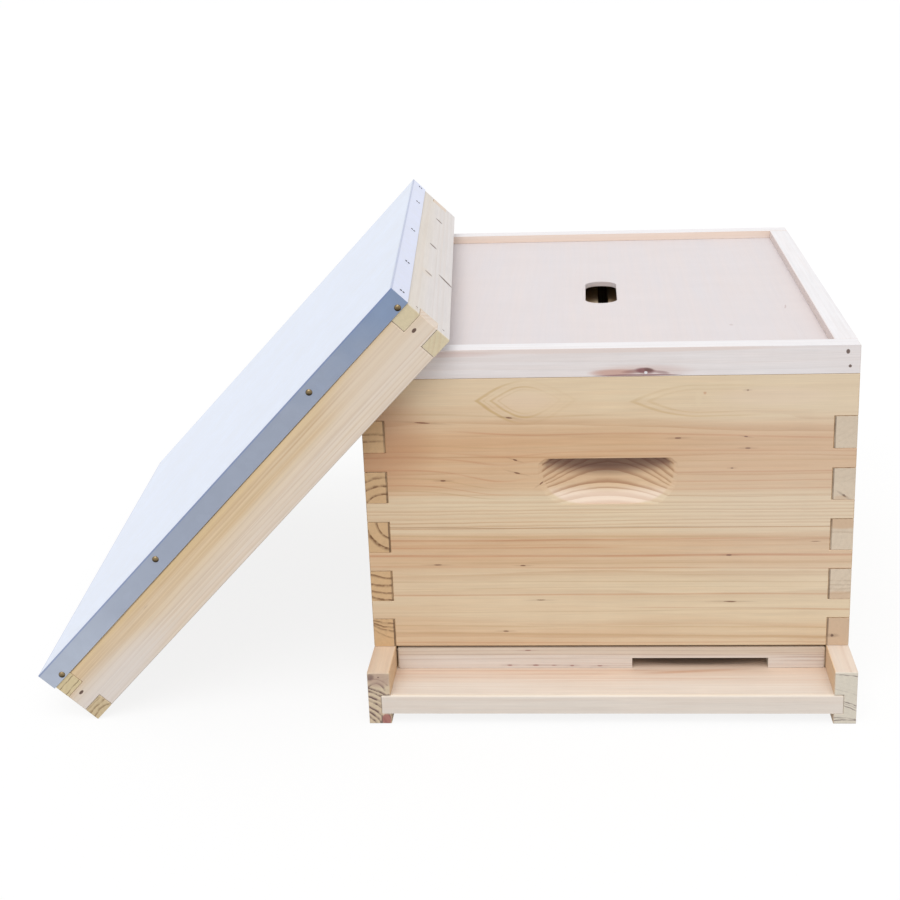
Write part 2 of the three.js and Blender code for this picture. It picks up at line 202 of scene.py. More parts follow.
class Finish:
    """The nodes of a material or a world under way: every one comes from the node method."""

    def __init__(self, owner):
        owner.use_nodes = True
        self.owner = owner
        self.tree = owner.node_tree
        self.tree.nodes.clear()

    def node(self, kind, settings=None, sockets=None, out=0):
        """A node of a type, with its settings set first and then its sockets' values or links."""
        made = self.tree.nodes.new(kind)
        for key, value in (settings or {}).items():
            if key == "stops":
                set_stops(made.color_ramp, value)
            else:
                setattr(made, key, value)
        for key, value in (sockets or {}).items():
            if isinstance(value, Wire):
                self.tree.links.new(value.socket, made.inputs[key])
            else:
                made.inputs[key].default_value = value
        return Wire(self, made.outputs[out]) if made.outputs else None

    def maths(self, operation, *values):
        """A sum of one operation."""
        return self.node("ShaderNodeMath", {"operation": operation}, dict(enumerate(values)))

    def step(self, value, start, end):
        """0 at start, 1 at end, with an S between them; start may be the larger."""
        return self.node(
            "ShaderNodeMapRange",
            {"interpolation_type": "SMOOTHSTEP"},
            {"Value": value, "From Min": start, "From Max": end},
        )

    def between(self, value, low, high):
        """A value from 0 to 1 carried to low and high."""
        return self.node("ShaderNodeMapRange", None, {"Value": value, "To Min": low, "To Max": high})

    def mix(self, factor, first, second):
        """Colours mixed: the first at 0, the second at 1."""
        sockets = {0: factor, 6: first, 7: second}
        return self.node("ShaderNodeMix", {"data_type": "RGBA"}, sockets, out=2)

    def shade(self, colours, factor):
        """A colour made lighter or darker."""
        return self.node("ShaderNodeVectorMath", {"operation": "SCALE"}, {0: colours, "Scale": factor})

    def dot(self, vector, axis):
        """How far a vector runs along an axis."""
        return self.node("ShaderNodeVectorMath", {"operation": "DOT_PRODUCT"}, {0: vector, 1: axis}, "Value")

    def reach(self, place, axis, start):
        """How far a place lies along an axis from a start, in millimetres."""
        return self.dot(place, axis / MM) - start / MM

    def vector(self, x, y, z):
        """A place from its three numbers."""
        return self.node("ShaderNodeCombineXYZ", None, {0: x, 1: y, 2: z})

    def noise(self, place, size, detail=2.0, roughness=0.5):
        """Cloudy noise from 0 to 1 whose blots are about size wide, in the units of the place."""
        sockets = {"Vector": place, "Scale": 1 / size, "Detail": detail, "Roughness": roughness}
        return self.node("ShaderNodeTexNoise", None, sockets)

    def ramp(self, value, stops):
        """A value that runs through the stops, each a place and a value from 0 to 1."""
        levels = [(place, (level, level, level)) for place, level in stops]
        return self.node("ShaderNodeValToRGB", {"stops": levels}, {0: value})

    def chance(self, number):
        """A random value from 0 to 1 for each whole number."""
        return self.node("ShaderNodeTexWhiteNoise", {"noise_dimensions": "1D"}, {"W": number})

    def bump(self, height, distance, strength):
        """A surface direction that a height tilts."""
        sockets = {"Height": height, "Distance": distance, "Strength": strength}
        return self.node("ShaderNodeBump", None, sockets)

    def surface(self, sockets):
        """Closes the material with a Principled shader and returns it."""
        shader = self.node("ShaderNodeBsdfPrincipled", None, sockets)
        self.node("ShaderNodeOutputMaterial", None, {"Surface": shader})
        return self.owner

    def towards(self, axis):
        """How far a face looks along an axis: 1 straight along it and -1 against it."""
        return self.dot(self.node("ShaderNodeTexCoord", out="Normal"), axis)

    def facing(self, axis, start):
        """1 on the faces that look along an axis or against it."""
        return self.step(self.maths("ABSOLUTE", self.towards(axis)), start, 0.8)

    def seen(self):
        """1 for what the camera, a shine or a glass sees straight, and 0 for light that falls."""
        camera = self.node("ShaderNodeLightPath", out="Is Camera Ray")
        glossy = self.node("ShaderNodeLightPath", out="Is Glossy Ray")
        passing = self.node("ShaderNodeLightPath", out="Is Transmission Ray")
        return self.maths("MINIMUM", camera + glossy + passing, 1.0)


def new_finish(name):
    """The nodes of a new material."""
    return Finish(bpy.data.materials.new(name))


def set_stops(ramp, stops):
    """Sets a ramp's stops, each a place and a colour."""
    while len(ramp.elements) < len(stops):
        ramp.elements.new(1.0)
    for element, (place, rgb) in zip(ramp.elements, stops):
        element.position = place
        element.color = opaque(rgb)


# Woods


class Plank(NamedTuple):
    """A plank that is glued into a board: where it starts across the board, its own chance,
    where its tree's pith lay across the board and behind its face, and its rings' width."""

    start: float
    seed: int
    pith_across: float
    pith_depth: float
    ring: float = 4.0
    light: float = 1.0


class Figure(NamedTuple):
    """An oval swell of the rings in the tree's side, which a flat cut shows as an eye."""

    along: float
    across: float
    reach: float
    spread: float
    height: float


class Mark(NamedTuple):
    """An oval mark on a board, such as a knot, a fleck of resin or a split. On an end it is
    placed by the depth behind the face and by the distance across the board."""

    along: float
    across: float
    reach: float
    spread: float
    tint: tuple
    share: float = 0.8
    turn: float = 0.0
    core: float = 0.3
    end: bool = False
    halo: float = 0.0


class Line(NamedTuple):
    """A line along the grain at a place across the board. It falls by a height over the
    board's length, and runs from one share of that length to another."""

    across: float
    width: float
    share: float
    tint: tuple
    fall: float = 0.0
    start: float = 0.0
    end: float = 1.0


class Arc(NamedTuple):
    """A ring's line on an end: its middle by the depth behind the face and the distance across
    the board, its radius, and the band across the board that it is drawn in."""

    depth: float
    across: float
    radius: float
    width: float
    share: float
    low: float
    high: float


class Eye(NamedTuple):
    """An eye of thin lines round a place. It reaches before and after it along the board, and
    its point runs from 0 for an oval to 1 for a diamond. Each line is at a share of its size,
    with a width, a strength and the place along the board where it has faded. Above the eye's
    middle all its lines are weaker by the upper share."""

    along: float
    across: float
    before: float
    after: float
    spread: float
    point: float
    tint: tuple
    upper: float
    lines: tuple


@dataclasses.dataclass
class Look:
    """How a kind of wood looks. Lengths are in millimetres, shares run from 0 to 1. scoop is
    the lowest and highest level of a handhold, across its board."""

    early: tuple
    late: tuple
    blush: tuple
    end: tuple
    end_late: tuple
    fleck: tuple = tone(0x7A4A30)
    slow_stretch: float = 7.0
    sway: float = 10.0
    sway_size: float = 62.0
    ripple: float = 1.8
    late_from: float = 0.3
    faintest: float = 0.15
    contrast: float = 0.8
    patchy: float = 0.35
    end_share: float = 0.8
    end_contrast: float = 0.6
    fibre: float = 0.2
    fleck_share: float = 0.85
    fleck_rarity: float = 0.94
    seam_share: float = 0.6
    roughness: float = 0.6
    bump: float = 0.1
    zones: tuple = ((0.0, 0.35), (1.0, 0.35))
    calm: tuple = None
    # How much paler the board grows along its length: on the front board partly its wood and partly painted
    # shade at its left end
    pale_end: float = 0.0
    # A handhold's top colour: the cutter's scorch with painted shade under the lip
    scorch_and_shade: tuple = None
    # A handhold's foot colour: fresh cut wood with painted light where it faces up
    cut: tuple = None
    scoop: tuple = (132.0, 173.5)
    # A tint on the inner face; on the rails it is painted warm bounce light
    lining: tuple = None
    crack: tuple = tone(0x4E382A)
    crack_share: float = 0.0
    streaks: float = 0.5
    drift: float = 0.6
    lines: tuple = ()
    dips: tuple = ()
    eyes: tuple = ()
    arcs: tuple = ()


# Sizes that every wood shares, in millimetres: the blots of its noises, how far they shift the
# lines that they bend, and how many times longer than wide they lie along the grain
RIPPLE_SIZE = 13.0
PATCH_SIZE = 24
DRIFT_SIZE = 40
STREAK_STRETCH, STREAK_SIZE = 26, 6.5
LINE_SIZE, LINE_SHIFT = 34, 3.5
EYE_SIZE, EYE_SHIFT = 8, 2.5
ARC_SIZE, ARC_SHIFT = 7, 2.2
BREAK_SIZE = 5
THREAD_STRETCH, FIBRE_SIZE, BAND_SIZE = 45, 0.8, 3.1
SHEEN_STRETCH, SHEEN_SPREAD, SHEEN_SIZE = 3, 9, 8
CANAL_STRETCH, CANAL_SPACING = 11, 5.5
# Where a face's skin, behind it, and a glued joint's line, beside it, are still full and are gone
SKIN_FULL, SKIN_GONE = 0.8, 1.5
SEAM_FULL, SEAM_GONE = 0.1, 0.5
# A handhold's colours, each gone at the first number and full at the second: depths behind the
# face and before the back, heights over its foot and under its top, and how its scorch bows. Its
# foot is fresh cut wood made paler with painted light where it faces up, and under its top the
# cutter's scorch is darkened with painted shade from the lip
HOLD_FRONT, HOLD_BACK = (0.9, 1.6), (1, 3)
CUT_AND_LIGHT_RISE, CUT_AND_LIGHT_DEPTH = (17, 7), (8, 5)
SCORCH_AND_SHADE_DROP, SCORCH_AND_SHADE_DEPTH = (21, 10), (0.8, 3)
BOW, BOW_REACH_SHARE = 9, 1.4
# Distances from a board's back where a rail's lining, which is painted warm bounce light, and a
# crack in an end are gone and full
LINING, CRACK = (1.0, 0.4), (1.5, 0.9)
# How far the fibres fray a mark's edge, and a resin canal's radii as shares of their spacing
FRAY = 1.6
CANAL_GONE_SHARE, CANAL_FULL_SHARE = 0.1, 0.03
# Shares of a ring where its late wood is full and breaks off, and how far the ring numbers wander
LATE_FULL_SHARE, LATE_BREAK_SHARE = 0.94, 0.95
WANDER_SCALE, WANDER = 0.31, 1.7
# How far a plank's seed moves each noise along the grain, so that no two planks look alike
SLOW_SEED, STREAK_SEED, THREAD_SEED, CANAL_SEED = 71.3, 9.7, 31.7, 3.1
RING_SEED = 13


class Cut(Finish):
    """The material of a board under way, as wood cut from a log. Its places are millimetres
    along the board's grain, across the board, and deep behind its face. end is 1 on the end
    grain and side is 1 elsewhere; skin is 1 on the face only."""

    def __init__(self, name, board, look, planks):
        super().__init__(bpy.data.materials.new(name))
        self.look = look
        self.planks = planks
        self.long = board.length / MM
        self.wide = board.width / MM
        self.thick = board.thickness / MM
        place = self.node("ShaderNodeTexCoord", out="Object")
        self.along = self.reach(place, board.along, board.along_from)
        self.across = self.reach(place, board.across, board.across_from)
        self.depth = board.depth_from / MM - self.reach(place, board.out, 0)
        self.seed = self.plank_value("seed")
        self.end = self.facing(board.along, 0.55)
        self.side = 1 - self.end
        self.skin = self.step(self.depth, SKIN_GONE, SKIN_FULL) * self.side
        self.slow = self.stretched(look.slow_stretch, SLOW_SEED)
        self.patches = self.step(self.noise(self.slow, PATCH_SIZE), 0.25, 0.65)
        self.streak = self.noise(self.stretched(STREAK_STRETCH, STREAK_SEED), STREAK_SIZE, 3.0, 0.6)
        self.inside = self.handhold() if look.scorch_and_shade else None
        self.base = None

    def plank_value(self, key):
        """One value of the glued planks: it changes where the next plank starts."""
        value = getattr(self.planks[0], key)
        for before, plank in zip(self.planks, self.planks[1:]):
            change = getattr(plank, key) - getattr(before, key)
            if change:
                start, end = plank.start - SEAM_FULL, plank.start + SEAM_FULL
                value = value + self.step(self.across, start, end) * change
        return value

    def stretched(self, stretch, seed_reach):
        """The place with its grain drawn out, moved along by the plank's seed."""
        return self.vector(self.along / stretch + self.seed * seed_reach, self.across, self.depth)

    def waver(self, size, shift, detail=2.0):
        """Slow noise that goes half a shift to either side of 0."""
        return (self.noise(self.slow, size, detail) - 0.5) * shift

    def tint(self, share, rgb):
        """Lays a colour over the wood by a share."""
        self.base = self.mix(share, self.base, opaque(rgb))

    def swell(self, figure):
        """A figure's height at a place: it sinks with exp(-distance squared)."""
        first, second = oval_axes(self.along, self.across, figure)
        return self.maths("EXPONENT", (first + second) * -1) * figure.height

    def rings(self, figures):
        """The strength of the late wood. A place's ring number is its distance from the pith
        over the rings' width. Slow noise bends the rings, each figure swells them, and noise
        along the numbers makes them uneven. Within a ring the wood darkens slowly to its late
        wood and then breaks off, and each ring has a strength of its own."""
        look = self.look
        rise = self.across - self.plank_value("pith_across")
        sink = self.depth - self.plank_value("pith_depth")
        radius = (rise * rise + sink * sink) ** 0.5
        radius = radius + self.waver(look.sway_size, look.sway, 1.0) + self.waver(RIPPLE_SIZE, look.ripple)
        for figure in figures:
            radius = radius + self.swell(figure)
        ring = radius / self.plank_value("ring")
        sockets = {"W": ring, "Scale": WANDER_SCALE}
        ring = ring + self.node("ShaderNodeTexNoise", {"noise_dimensions": "1D"}, sockets) * WANDER
        within = self.maths("FRACT", ring)
        number = self.maths("FLOOR", ring)
        late = self.step(within, look.late_from, LATE_FULL_SHARE) ** 1.5
        late = late * self.step(within, 1.0, LATE_BREAK_SHARE)
        strength = self.between(self.chance(number + self.seed * RING_SEED) ** 1.7, look.faintest, 1.0)
        if look.scorch_and_shade:
            strength = self.maths("MAXIMUM", strength, self.inside * 0.6)
        late = late * strength * self.between(self.patches, 1 - look.patchy, 1.0)
        if look.calm:
            late = late * self.ramp(self.across / self.wide, look.calm)
        return late

    def colours(self, late):
        """Early wood that goes to its warmer colour by zones across the board, by clouds and by
        streaks, with the late wood's lines over it, and both colours of the ends."""
        look = self.look
        zone = self.ramp(self.across / self.wide, look.zones)
        drift = self.noise(self.slow, DRIFT_SIZE, 3.0, 0.6) - 0.5
        warm = zone + drift * look.drift + (self.streak - 0.5) * look.streaks
        # Paler along the board: partly the wood's tone, partly painted shade at its near end
        warm = self.node("ShaderNodeClamp", None, {0: warm - self.along / self.long * look.pale_end})
        self.base = self.mix(warm, opaque(look.early), opaque(look.blush))
        self.tint(late * look.contrast * self.side, look.late)
        self.tint(self.end * look.end_share, look.end)
        self.tint(self.end * late * look.end_contrast, look.end_late)

    def figure_lines(self):
        """The lines and eyes on the face, which wander across the board and sink in the dips,
        and the arcs on the ends."""
        look = self.look
        level = self.across + self.waver(LINE_SIZE, LINE_SHIFT)
        for dip in look.dips:
            level = level + self.swell(dip)
        faint = self.between(self.step(self.streak, 0.3, 0.6), 0.45, 1.0) * self.skin
        for line in look.lines:
            self.draw_line(line, level, faint)
        if look.eyes:
            level = level + self.waver(EYE_SIZE, EYE_SHIFT)
        for eye in look.eyes:
            self.draw_eye(eye, level)
        if look.arcs:
            bent_across = self.across + self.waver(ARC_SIZE, ARC_SHIFT)
            broken = self.step(self.noise(self.slow, BREAK_SIZE), 0.3, 0.55) * self.end
            room = self.between(broken, 0.35, 1.0) * self.end
        for arc in look.arcs:
            self.draw_arc(arc, bent_across, room)

    def draw_line(self, line, level, faint):
        """A thin line along the grain: full at its place across and fading over its width."""
        share_along = self.along / self.long
        if line.fall:
            level = level + share_along * line.fall
        away = self.maths("ABSOLUTE", level - line.across)
        full_share, fade_share = 0.15, 0.06
        drawn = self.step(away, line.width, line.width * full_share) * faint * line.share
        if line.start > 0:
            drawn = drawn * self.step(share_along, line.start - fade_share, line.start + fade_share)
        if line.end < 1:
            drawn = drawn * self.step(share_along, line.end + fade_share, line.end - fade_share)
        self.tint(drawn, line.tint)

    def draw_eye(self, eye, level):
        """An eye's lines. With the distances along and across over the eye's reaches, a place's
        size is across * point + sqrt(along squared + (across * (1 - point)) squared), and a
        line is drawn where that size is the line's share."""
        before = self.maths("MAXIMUM", (eye.along - self.along) / eye.before, 0.0)
        after = self.maths("MAXIMUM", (self.along - eye.along) / eye.after, 0.0)
        above = self.maths("ABSOLUTE", level - eye.across) / eye.spread
        aside, beside = before + after, above * (1 - eye.point)
        size = above * eye.point + (aside * aside + beside * beside) ** 0.5
        below, over, fade, full_share, kept_share = 4, 6, 30, 0.2, 0.15
        side = self.between(self.step(level, eye.across - below, eye.across + over), 1.0, eye.upper)
        for share, width, strength, faded in eye.lines:
            drawn = self.step(self.maths("ABSOLUTE", size - share), width, width * full_share) * side
            kept = self.step(self.along, faded, faded - fade)
            self.tint(drawn * self.between(kept, strength * kept_share, strength), eye.tint)

    def draw_arc(self, arc, across, room):
        """A ring's line on an end: full where the distance from its middle is its radius, sharp
        towards the middle and soft away from it, as early wood darkens to late wood."""
        rise = across - arc.across
        sink = self.depth - arc.depth
        over = (rise * rise + sink * sink) ** 0.5 - arc.radius
        sharp, full, soft = arc.width * 0.6, arc.width * 0.2, arc.width * 2.6
        line = self.step(over, -sharp, 0) * self.step(over, soft, full)
        blur = 0.2
        band = self.step(across, arc.low - blur, arc.low) * self.step(across, arc.high + blur, arc.high)
        self.tint(line * band * room * arc.share, self.look.end_late)

    def fibres(self):
        """Fibres and wider bands of light and dark, drawn out along the grain, so that an end
        shows them as specks, with a faint sheen across them and each plank's own light."""
        look = self.look
        thread = self.stretched(THREAD_STRETCH, THREAD_SEED)
        fibre = self.noise(thread, FIBRE_SIZE, 3.0, 0.65) - 0.5
        band = self.noise(thread, BAND_SIZE) - 0.5
        across, depth = self.across / SHEEN_SPREAD, self.depth / SHEEN_SPREAD
        sheen = self.noise(self.vector(self.along / SHEEN_STRETCH, across, depth), SHEEN_SIZE) - 0.5
        light = 1 + fibre * look.fibre + band * look.fibre * 0.8 + sheen * 0.05
        self.base = self.shade(self.base, light * self.plank_value("light"))
        return fibre, band

    def resin_canals(self):
        """Short dark flecks, in the few cells of a Voronoi pattern that chance picks."""
        look = self.look
        cells = {"Vector": self.stretched(CANAL_STRETCH, CANAL_SEED), "Scale": 1 / CANAL_SPACING}
        away = self.node("ShaderNodeTexVoronoi", None, cells)
        cell = self.node("ShaderNodeTexVoronoi", None, cells, "Color")
        chance = self.node("ShaderNodeSeparateColor", None, {0: cell})
        picked = self.step(chance, look.fleck_rarity, look.fleck_rarity + 0.02)
        canal = self.step(away, CANAL_GONE_SHARE, CANAL_FULL_SHARE)
        self.tint(canal * picked * self.side * look.fleck_share, look.fleck)

    def draw_mark(self, mark, ragged):
        """An oval mark, full over its core. Its halo is a fainter streak four times as long."""
        along, room = (self.depth, self.end) if mark.end else (self.along, self.skin)
        first, second = oval_axes(along, ragged, mark, mark.turn)
        inked = self.step(first + second, 1.0, mark.core)
        if mark.halo:
            streak = self.step(first / 16 + second / 2, 1.0, 0.0)
            inked = self.maths("MAXIMUM", inked, streak * mark.halo)
        self.tint(inked * room * mark.share, mark.tint)

    def glued_joints(self):
        """A thin dark line where two planks meet."""
        for plank in self.planks[1:]:
            away = self.maths("ABSOLUTE", self.across - plank.start)
            seam = self.step(away, SEAM_GONE, SEAM_FULL)
            self.tint(seam * self.look.seam_share * self.side, self.look.late)

    def before_back(self, distances):
        """0 at the first distance from the board's back and 1 at the second."""
        return self.step(self.depth, *(self.thick - distance for distance in distances))

    def handhold(self):
        """1 inside a handhold: behind the face, before the back, between its foot and its top."""
        depth, across = self.depth, self.across
        foot, top = self.look.scoop
        deep = self.step(depth, *HOLD_FRONT) * self.before_back(HOLD_BACK)
        high = self.step(across, foot - 2, foot - 1) * self.step(across, top + 2, top + 1)
        return deep * self.side * high

    def paint_scorch_and_shade(self, late):
        """A handhold's colours: freshly cut at its foot, made paler there with painted light where it
        faces up, scorched by the cutter under its top and darkened there with painted shade from the
        lip, and the rings' lines strong between them."""
        look, inside = self.look, self.inside
        foot, top = look.scoop
        low = self.step(self.across, *(foot + rise for rise in CUT_AND_LIGHT_RISE)) * self.step(self.depth, *CUT_AND_LIGHT_DEPTH)
        aside = (self.along - self.long / 2) / ((top - foot) * BOW_REACH_SHARE)
        high = self.step(self.across - aside * aside * BOW, *(top - drop for drop in SCORCH_AND_SHADE_DROP))
        high = high * self.step(self.depth, *SCORCH_AND_SHADE_DEPTH)
        # The foot: fresh cut wood with painted light; the top: scorch with painted shade from the lip
        self.tint(inside * low * 0.6, look.cut)
        self.tint(inside * late * self.between(low, 0.85, 0.4), look.late)
        self.tint(inside * late * (1 - low) * 0.4, look.scorch_and_shade)
        self.tint(inside * high * self.between(self.streak, 0.55, 0.9), look.scorch_and_shade)

    def inner_face(self):
        """The lining of the face that looks inwards, which on the rails is painted warm bounce light, and
        the dark crack behind an end.
        """
        look = self.look
        if look.lining:
            inner = self.before_back(LINING) * self.side
            self.tint(inner * self.between(self.streak, 0.5, 1.0), look.lining)
        if look.crack_share:
            crack = self.before_back(CRACK) * self.end
            self.tint(crack * self.between(self.patches, 0.4, 1.0) * look.crack_share, look.crack)


def oval_axes(along, across, mark, turn=0.0):
    """Squares of the distances along and across a turned oval, each over the oval's reach."""
    aside = along - mark.along
    above = across - mark.across
    angle = math.radians(turn)
    first = (aside * math.cos(angle) + above * math.sin(angle)) / mark.reach
    second = (above * math.cos(angle) - aside * math.sin(angle)) / mark.spread
    return first * first, second * second


def wood(name, board, look, planks, figures=(), marks=()):
    """Wood cut from a log, from its rings to the marks on its face."""
    cut = Cut(name, board, look, planks)
    late = cut.rings(figures)
    cut.colours(late)
    cut.figure_lines()
    fibre, band = cut.fibres()
    cut.resin_canals()
    ragged = cut.across + fibre * FRAY
    for mark in marks:
        cut.draw_mark(mark, ragged)
    cut.glued_joints()
    if look.scorch_and_shade:
        cut.paint_scorch_and_shade(late)
    cut.inner_face()
    height = late * 0.5 + fibre + band * 0.6 + cut.end * fibre
    sockets = {
        "Base Color": cut.base,
        "Roughness": look.roughness - late * 0.1 + fibre * 0.2 + cut.end * 0.1,
        "Normal": cut.bump(height, look.bump * MM, 0.7),
        "Specular IOR Level": 0.35,
    }
    return cut.surface(sockets)


def dress(material, slot, *names):
    """Gives CAD nodes a material. The slot is not used."""
    for name in names:
        node = frame["nodes"][name]
        node.data.materials.clear()
        node.data.materials.append(material)


def timber(node, axes, slot, name, look, planks, figures=(), marks=()):
    """Cuts a CAD board's own wood. Its axes are the ways of its grain, its width and its face."""
    dress(wood(name, Board(node, *axes), look, planks, figures, marks), slot, node)


# Other finishes


ZINC_RELIEF, METAL_RELIEF, WAX_RELIEF = 0.25 * MM, 0.05 * MM, 0.06 * MM
BLOT = 1.2 * MM
WAX_CLOUD, WAX_GRIT = 40 * MM, 0.7 * MM
WAX_SCATTER = (3 * MM, 1.6 * MM, 0.6 * MM)


def galvanised(metals, sheet, up, side, out):
    """Zinc on thin sheet: grains of slightly different shine, faint clouds and drawn-out rubbing. Each
    face is coloured by the way it looks, as painted reflection: the long sides darker, palest at the
    lower end and darkest at the upper end; the folds get a painted dark line of shade."""
    finish = new_finish("galvanised")
    place = finish.node("ShaderNodeTexCoord", out="Object")
    along = finish.reach(place, up, (sheet @ up).min())
    across = finish.reach(place, side, (sheet @ side).min())
    level = (sheet @ out).max() / MM - finish.reach(place, out, 0)
    wide, long = np.ptp(sheet @ side) / MM, np.ptp(sheet @ up) / MM
    sides = finish.facing(side, 0.5)
    ends = finish.facing(up, 0.5)
    flat = finish.vector(along, across, level)
    cloud_size, smear_size, smear_stretch = 60, 7, 9
    clouds = finish.noise(flat, cloud_size, 3.0, 0.6) - 0.5
    drawn_out = finish.vector(along / smear_stretch, across, level)
    smears = finish.noise(drawn_out, smear_size, 3.0, 0.6) - 0.5
    grains = {"Vector": flat, "Scale": 1 / metals.grain_size}
    grain = finish.node("ShaderNodeTexVoronoi", None, grains, "Color")
    grain = finish.node("ShaderNodeSeparateColor", None, {0: grain}) - 0.5
    uphill = along / long + clouds * 0.3

    # Painted reflection: each face's colour by the way it looks, the long sides darker and graded up the
    # slope
    base = finish.mix(ends, opaque(metals.top), opaque(metals.short_skirt_painted_reflection))
    base = finish.mix(sides, base, opaque(metals.skirt_painted_reflection))
    base = finish.mix(finish.step(uphill, 0.4, 0.05) * sides * 0.8, base, opaque(metals.low_skirt_painted_reflection))
    base = finish.mix(finish.step(uphill, 0.7, 1.0) * sides * 0.8, base, opaque(metals.high_skirt_painted_reflection))
    # Levels below the top, then widths of the folds, where each is gone and where it is full
    top_level, under_level, long_fold, short_fold = (0.9, 0.5), (1.8, 0.9), (2.2, 0.9), (2.6, 1.0)
    top = finish.step(level, *top_level)
    under = finish.step(level, *under_level)
    # Painted shade along the folds, on the top and down the skirts beside each bend
    for reach, whole, width, skirts, share in (
        (across, wide, long_fold, sides, 0.6),
        (along, long, short_fold, ends, 0.4),
    ):
        near = finish.step(finish.maths("MINIMUM", reach, whole - reach), *width)
        fold_painted_shade = finish.maths("MINIMUM", near * top + under * skirts, 1.0)
        base = finish.mix(fold_painted_shade * share, base, opaque(metals.fold_painted_shade))
    base = finish.shade(base, 1 + clouds * 0.1 + smears * 0.05 + grain * 0.045)
    sockets = {
        "Base Color": base,
        "Metallic": 1.0,
        "Roughness": 0.4 + clouds * 0.2 + grain * 0.1,
        "Normal": finish.bump(clouds * 2 + grain * 0.08, ZINC_RELIEF, 0.5),
    }
    return finish.surface(sockets)


def bare_metal(name, rgb, roughness, under=0.35):
    """Drawn or plated metal, with blots of tarnish a millimetre wide. What looks down gets painted
    shade, darker by the share under."""
    finish = new_finish(name)
    place = finish.node("ShaderNodeTexCoord", out="Object")
    blots = finish.noise(place, BLOT, 3.0, 0.6)
    tarnish = finish.step(blots, 0.5, 0.75)
    darker = tuple(share * 0.35 for share in rgb)
    base = finish.mix(tarnish * 0.7, opaque(rgb), opaque(darker))
    # Painted shade on what looks down
    below = finish.step(finish.towards(AXIS_Z), 0.35, -0.5)
    sockets = {
        "Base Color": finish.shade(base, finish.between(below, 1.0, under)),
        "Metallic": 1.0,
        "Roughness": roughness + tarnish * 0.25,
        "Normal": finish.bump(blots, METAL_RELIEF, 0.6),
    }
    return finish.surface(sockets)


def beeswax(waxes):
    """Pressed wax: clouds of paler bloom, and a fine grit."""
    finish = new_finish("beeswax")
    place = finish.node("ShaderNodeTexCoord", out="Object")
    clouds = finish.noise(place, WAX_CLOUD, 3.0, 0.6)
    grit = finish.noise(place, WAX_GRIT)
    base = finish.mix(finish.step(clouds, 0.3, 0.7), opaque(waxes.wax), opaque(waxes.bloom))
    base = finish.shade(base, 1 + (grit - 0.5) * 0.12)
    sockets = {
        "Base Color": base,
        "Roughness": 0.42 + (clouds - 0.5) * 0.2,
        "Normal": finish.bump(grit, WAX_RELIEF, 0.5),
        "Subsurface Weight": 0.15,
        "Subsurface Radius": WAX_SCATTER,
    }
    return finish.surface(sockets)


# Meshes


def new_piece(name, parts, material, body, smooth=True):
    """A mesh object at the origin from parts of vertices and faces, riding on a body."""
    points, faces, before = [], [], 0
    for places, corners_of_faces in parts:
        points.append(places)
        faces.extend((corners_of_faces + before).tolist())
        before += len(places)
    mesh = bpy.data.meshes.new(name)
    mesh.from_pydata(np.vstack(points).tolist(), [], faces)
    mesh.materials.append(material)
    mesh.polygons.foreach_set("use_smooth", np.full(len(faces), smooth))
    mesh.update()
    made = bpy.data.objects.new(name, mesh)
    bpy.context.scene.collection.objects.link(made)
    if body:
        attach(made, body)
    return made


def ring_faces(rows, columns):
    """The quads between rows of points, each row a ring closed on itself."""
    row = np.arange(rows - 1)[:, None] * columns
    column = np.arange(columns)[None, :]
    after = (column + 1) % columns
    quads = np.stack((row + column, row + after, row + columns + after, row + columns + column), axis=-1)
    return quads.reshape(-1, 4)


def turned(profile, place, out, sides=16):
    """A solid of revolution: at each angle its profile's radii are laid off from the axis that
    goes out of a place, and its heights along it, in millimetres. A radius of 0 closes an end."""
    out = np.asarray(out, float)
    first = np.cross(out, AXIS_X if abs(out[0]) < 0.9 else AXIS_Y)
    first /= np.linalg.norm(first)
    second = np.cross(out, first)
    angle = np.linspace(0, 2 * math.pi, sides, endpoint=False)
    spoke = np.outer(np.cos(angle), first) + np.outer(np.sin(angle), second)
    radius, height = np.array(profile, float).T * MM
    points = place + radius[:, None, None] * spoke + height[:, None, None] * out
    return points.reshape(-1, 3), ring_faces(len(profile), sides)


def tube(route, radius, sides=6):
    """A round wire: rings stand square to the way the route runs at each of its points, each
    ring's first spoke carried on from the one before by taking the new direction out of it."""
    route = np.asarray(route, float)
    ahead = np.gradient(route, axis=0)
    ahead /= np.linalg.norm(ahead, axis=1, keepdims=True)
    spoke = np.cross(ahead[0], AXIS_X)
    angle = np.linspace(0, 2 * math.pi, sides, endpoint=False)[:, None]
    rings = []
    for middle, way in zip(route, ahead):
        spoke = spoke - way * (spoke @ way)
        spoke /= np.linalg.norm(spoke)
        rings.append(middle + radius * (np.cos(angle) * spoke + np.sin(angle) * np.cross(way, spoke)))
    return np.vstack(rings), ring_faces(len(route), sides)


# The stage


PICTURE = 900
# The floor's rings inside its rim, in metres, and its drop under the hive, in millimetres
FLOOR_RINGS = (0.0, 0.5, 3.0)
FLOOR_DROP = 0.2


def hive_middle():
    """The point on the floor under the middle of the brood box."""
    low, high = corners("front_board", "back_board", "left_board", "right_board")
    middle = (low + high) / 2
    middle[2] = 0
    return middle


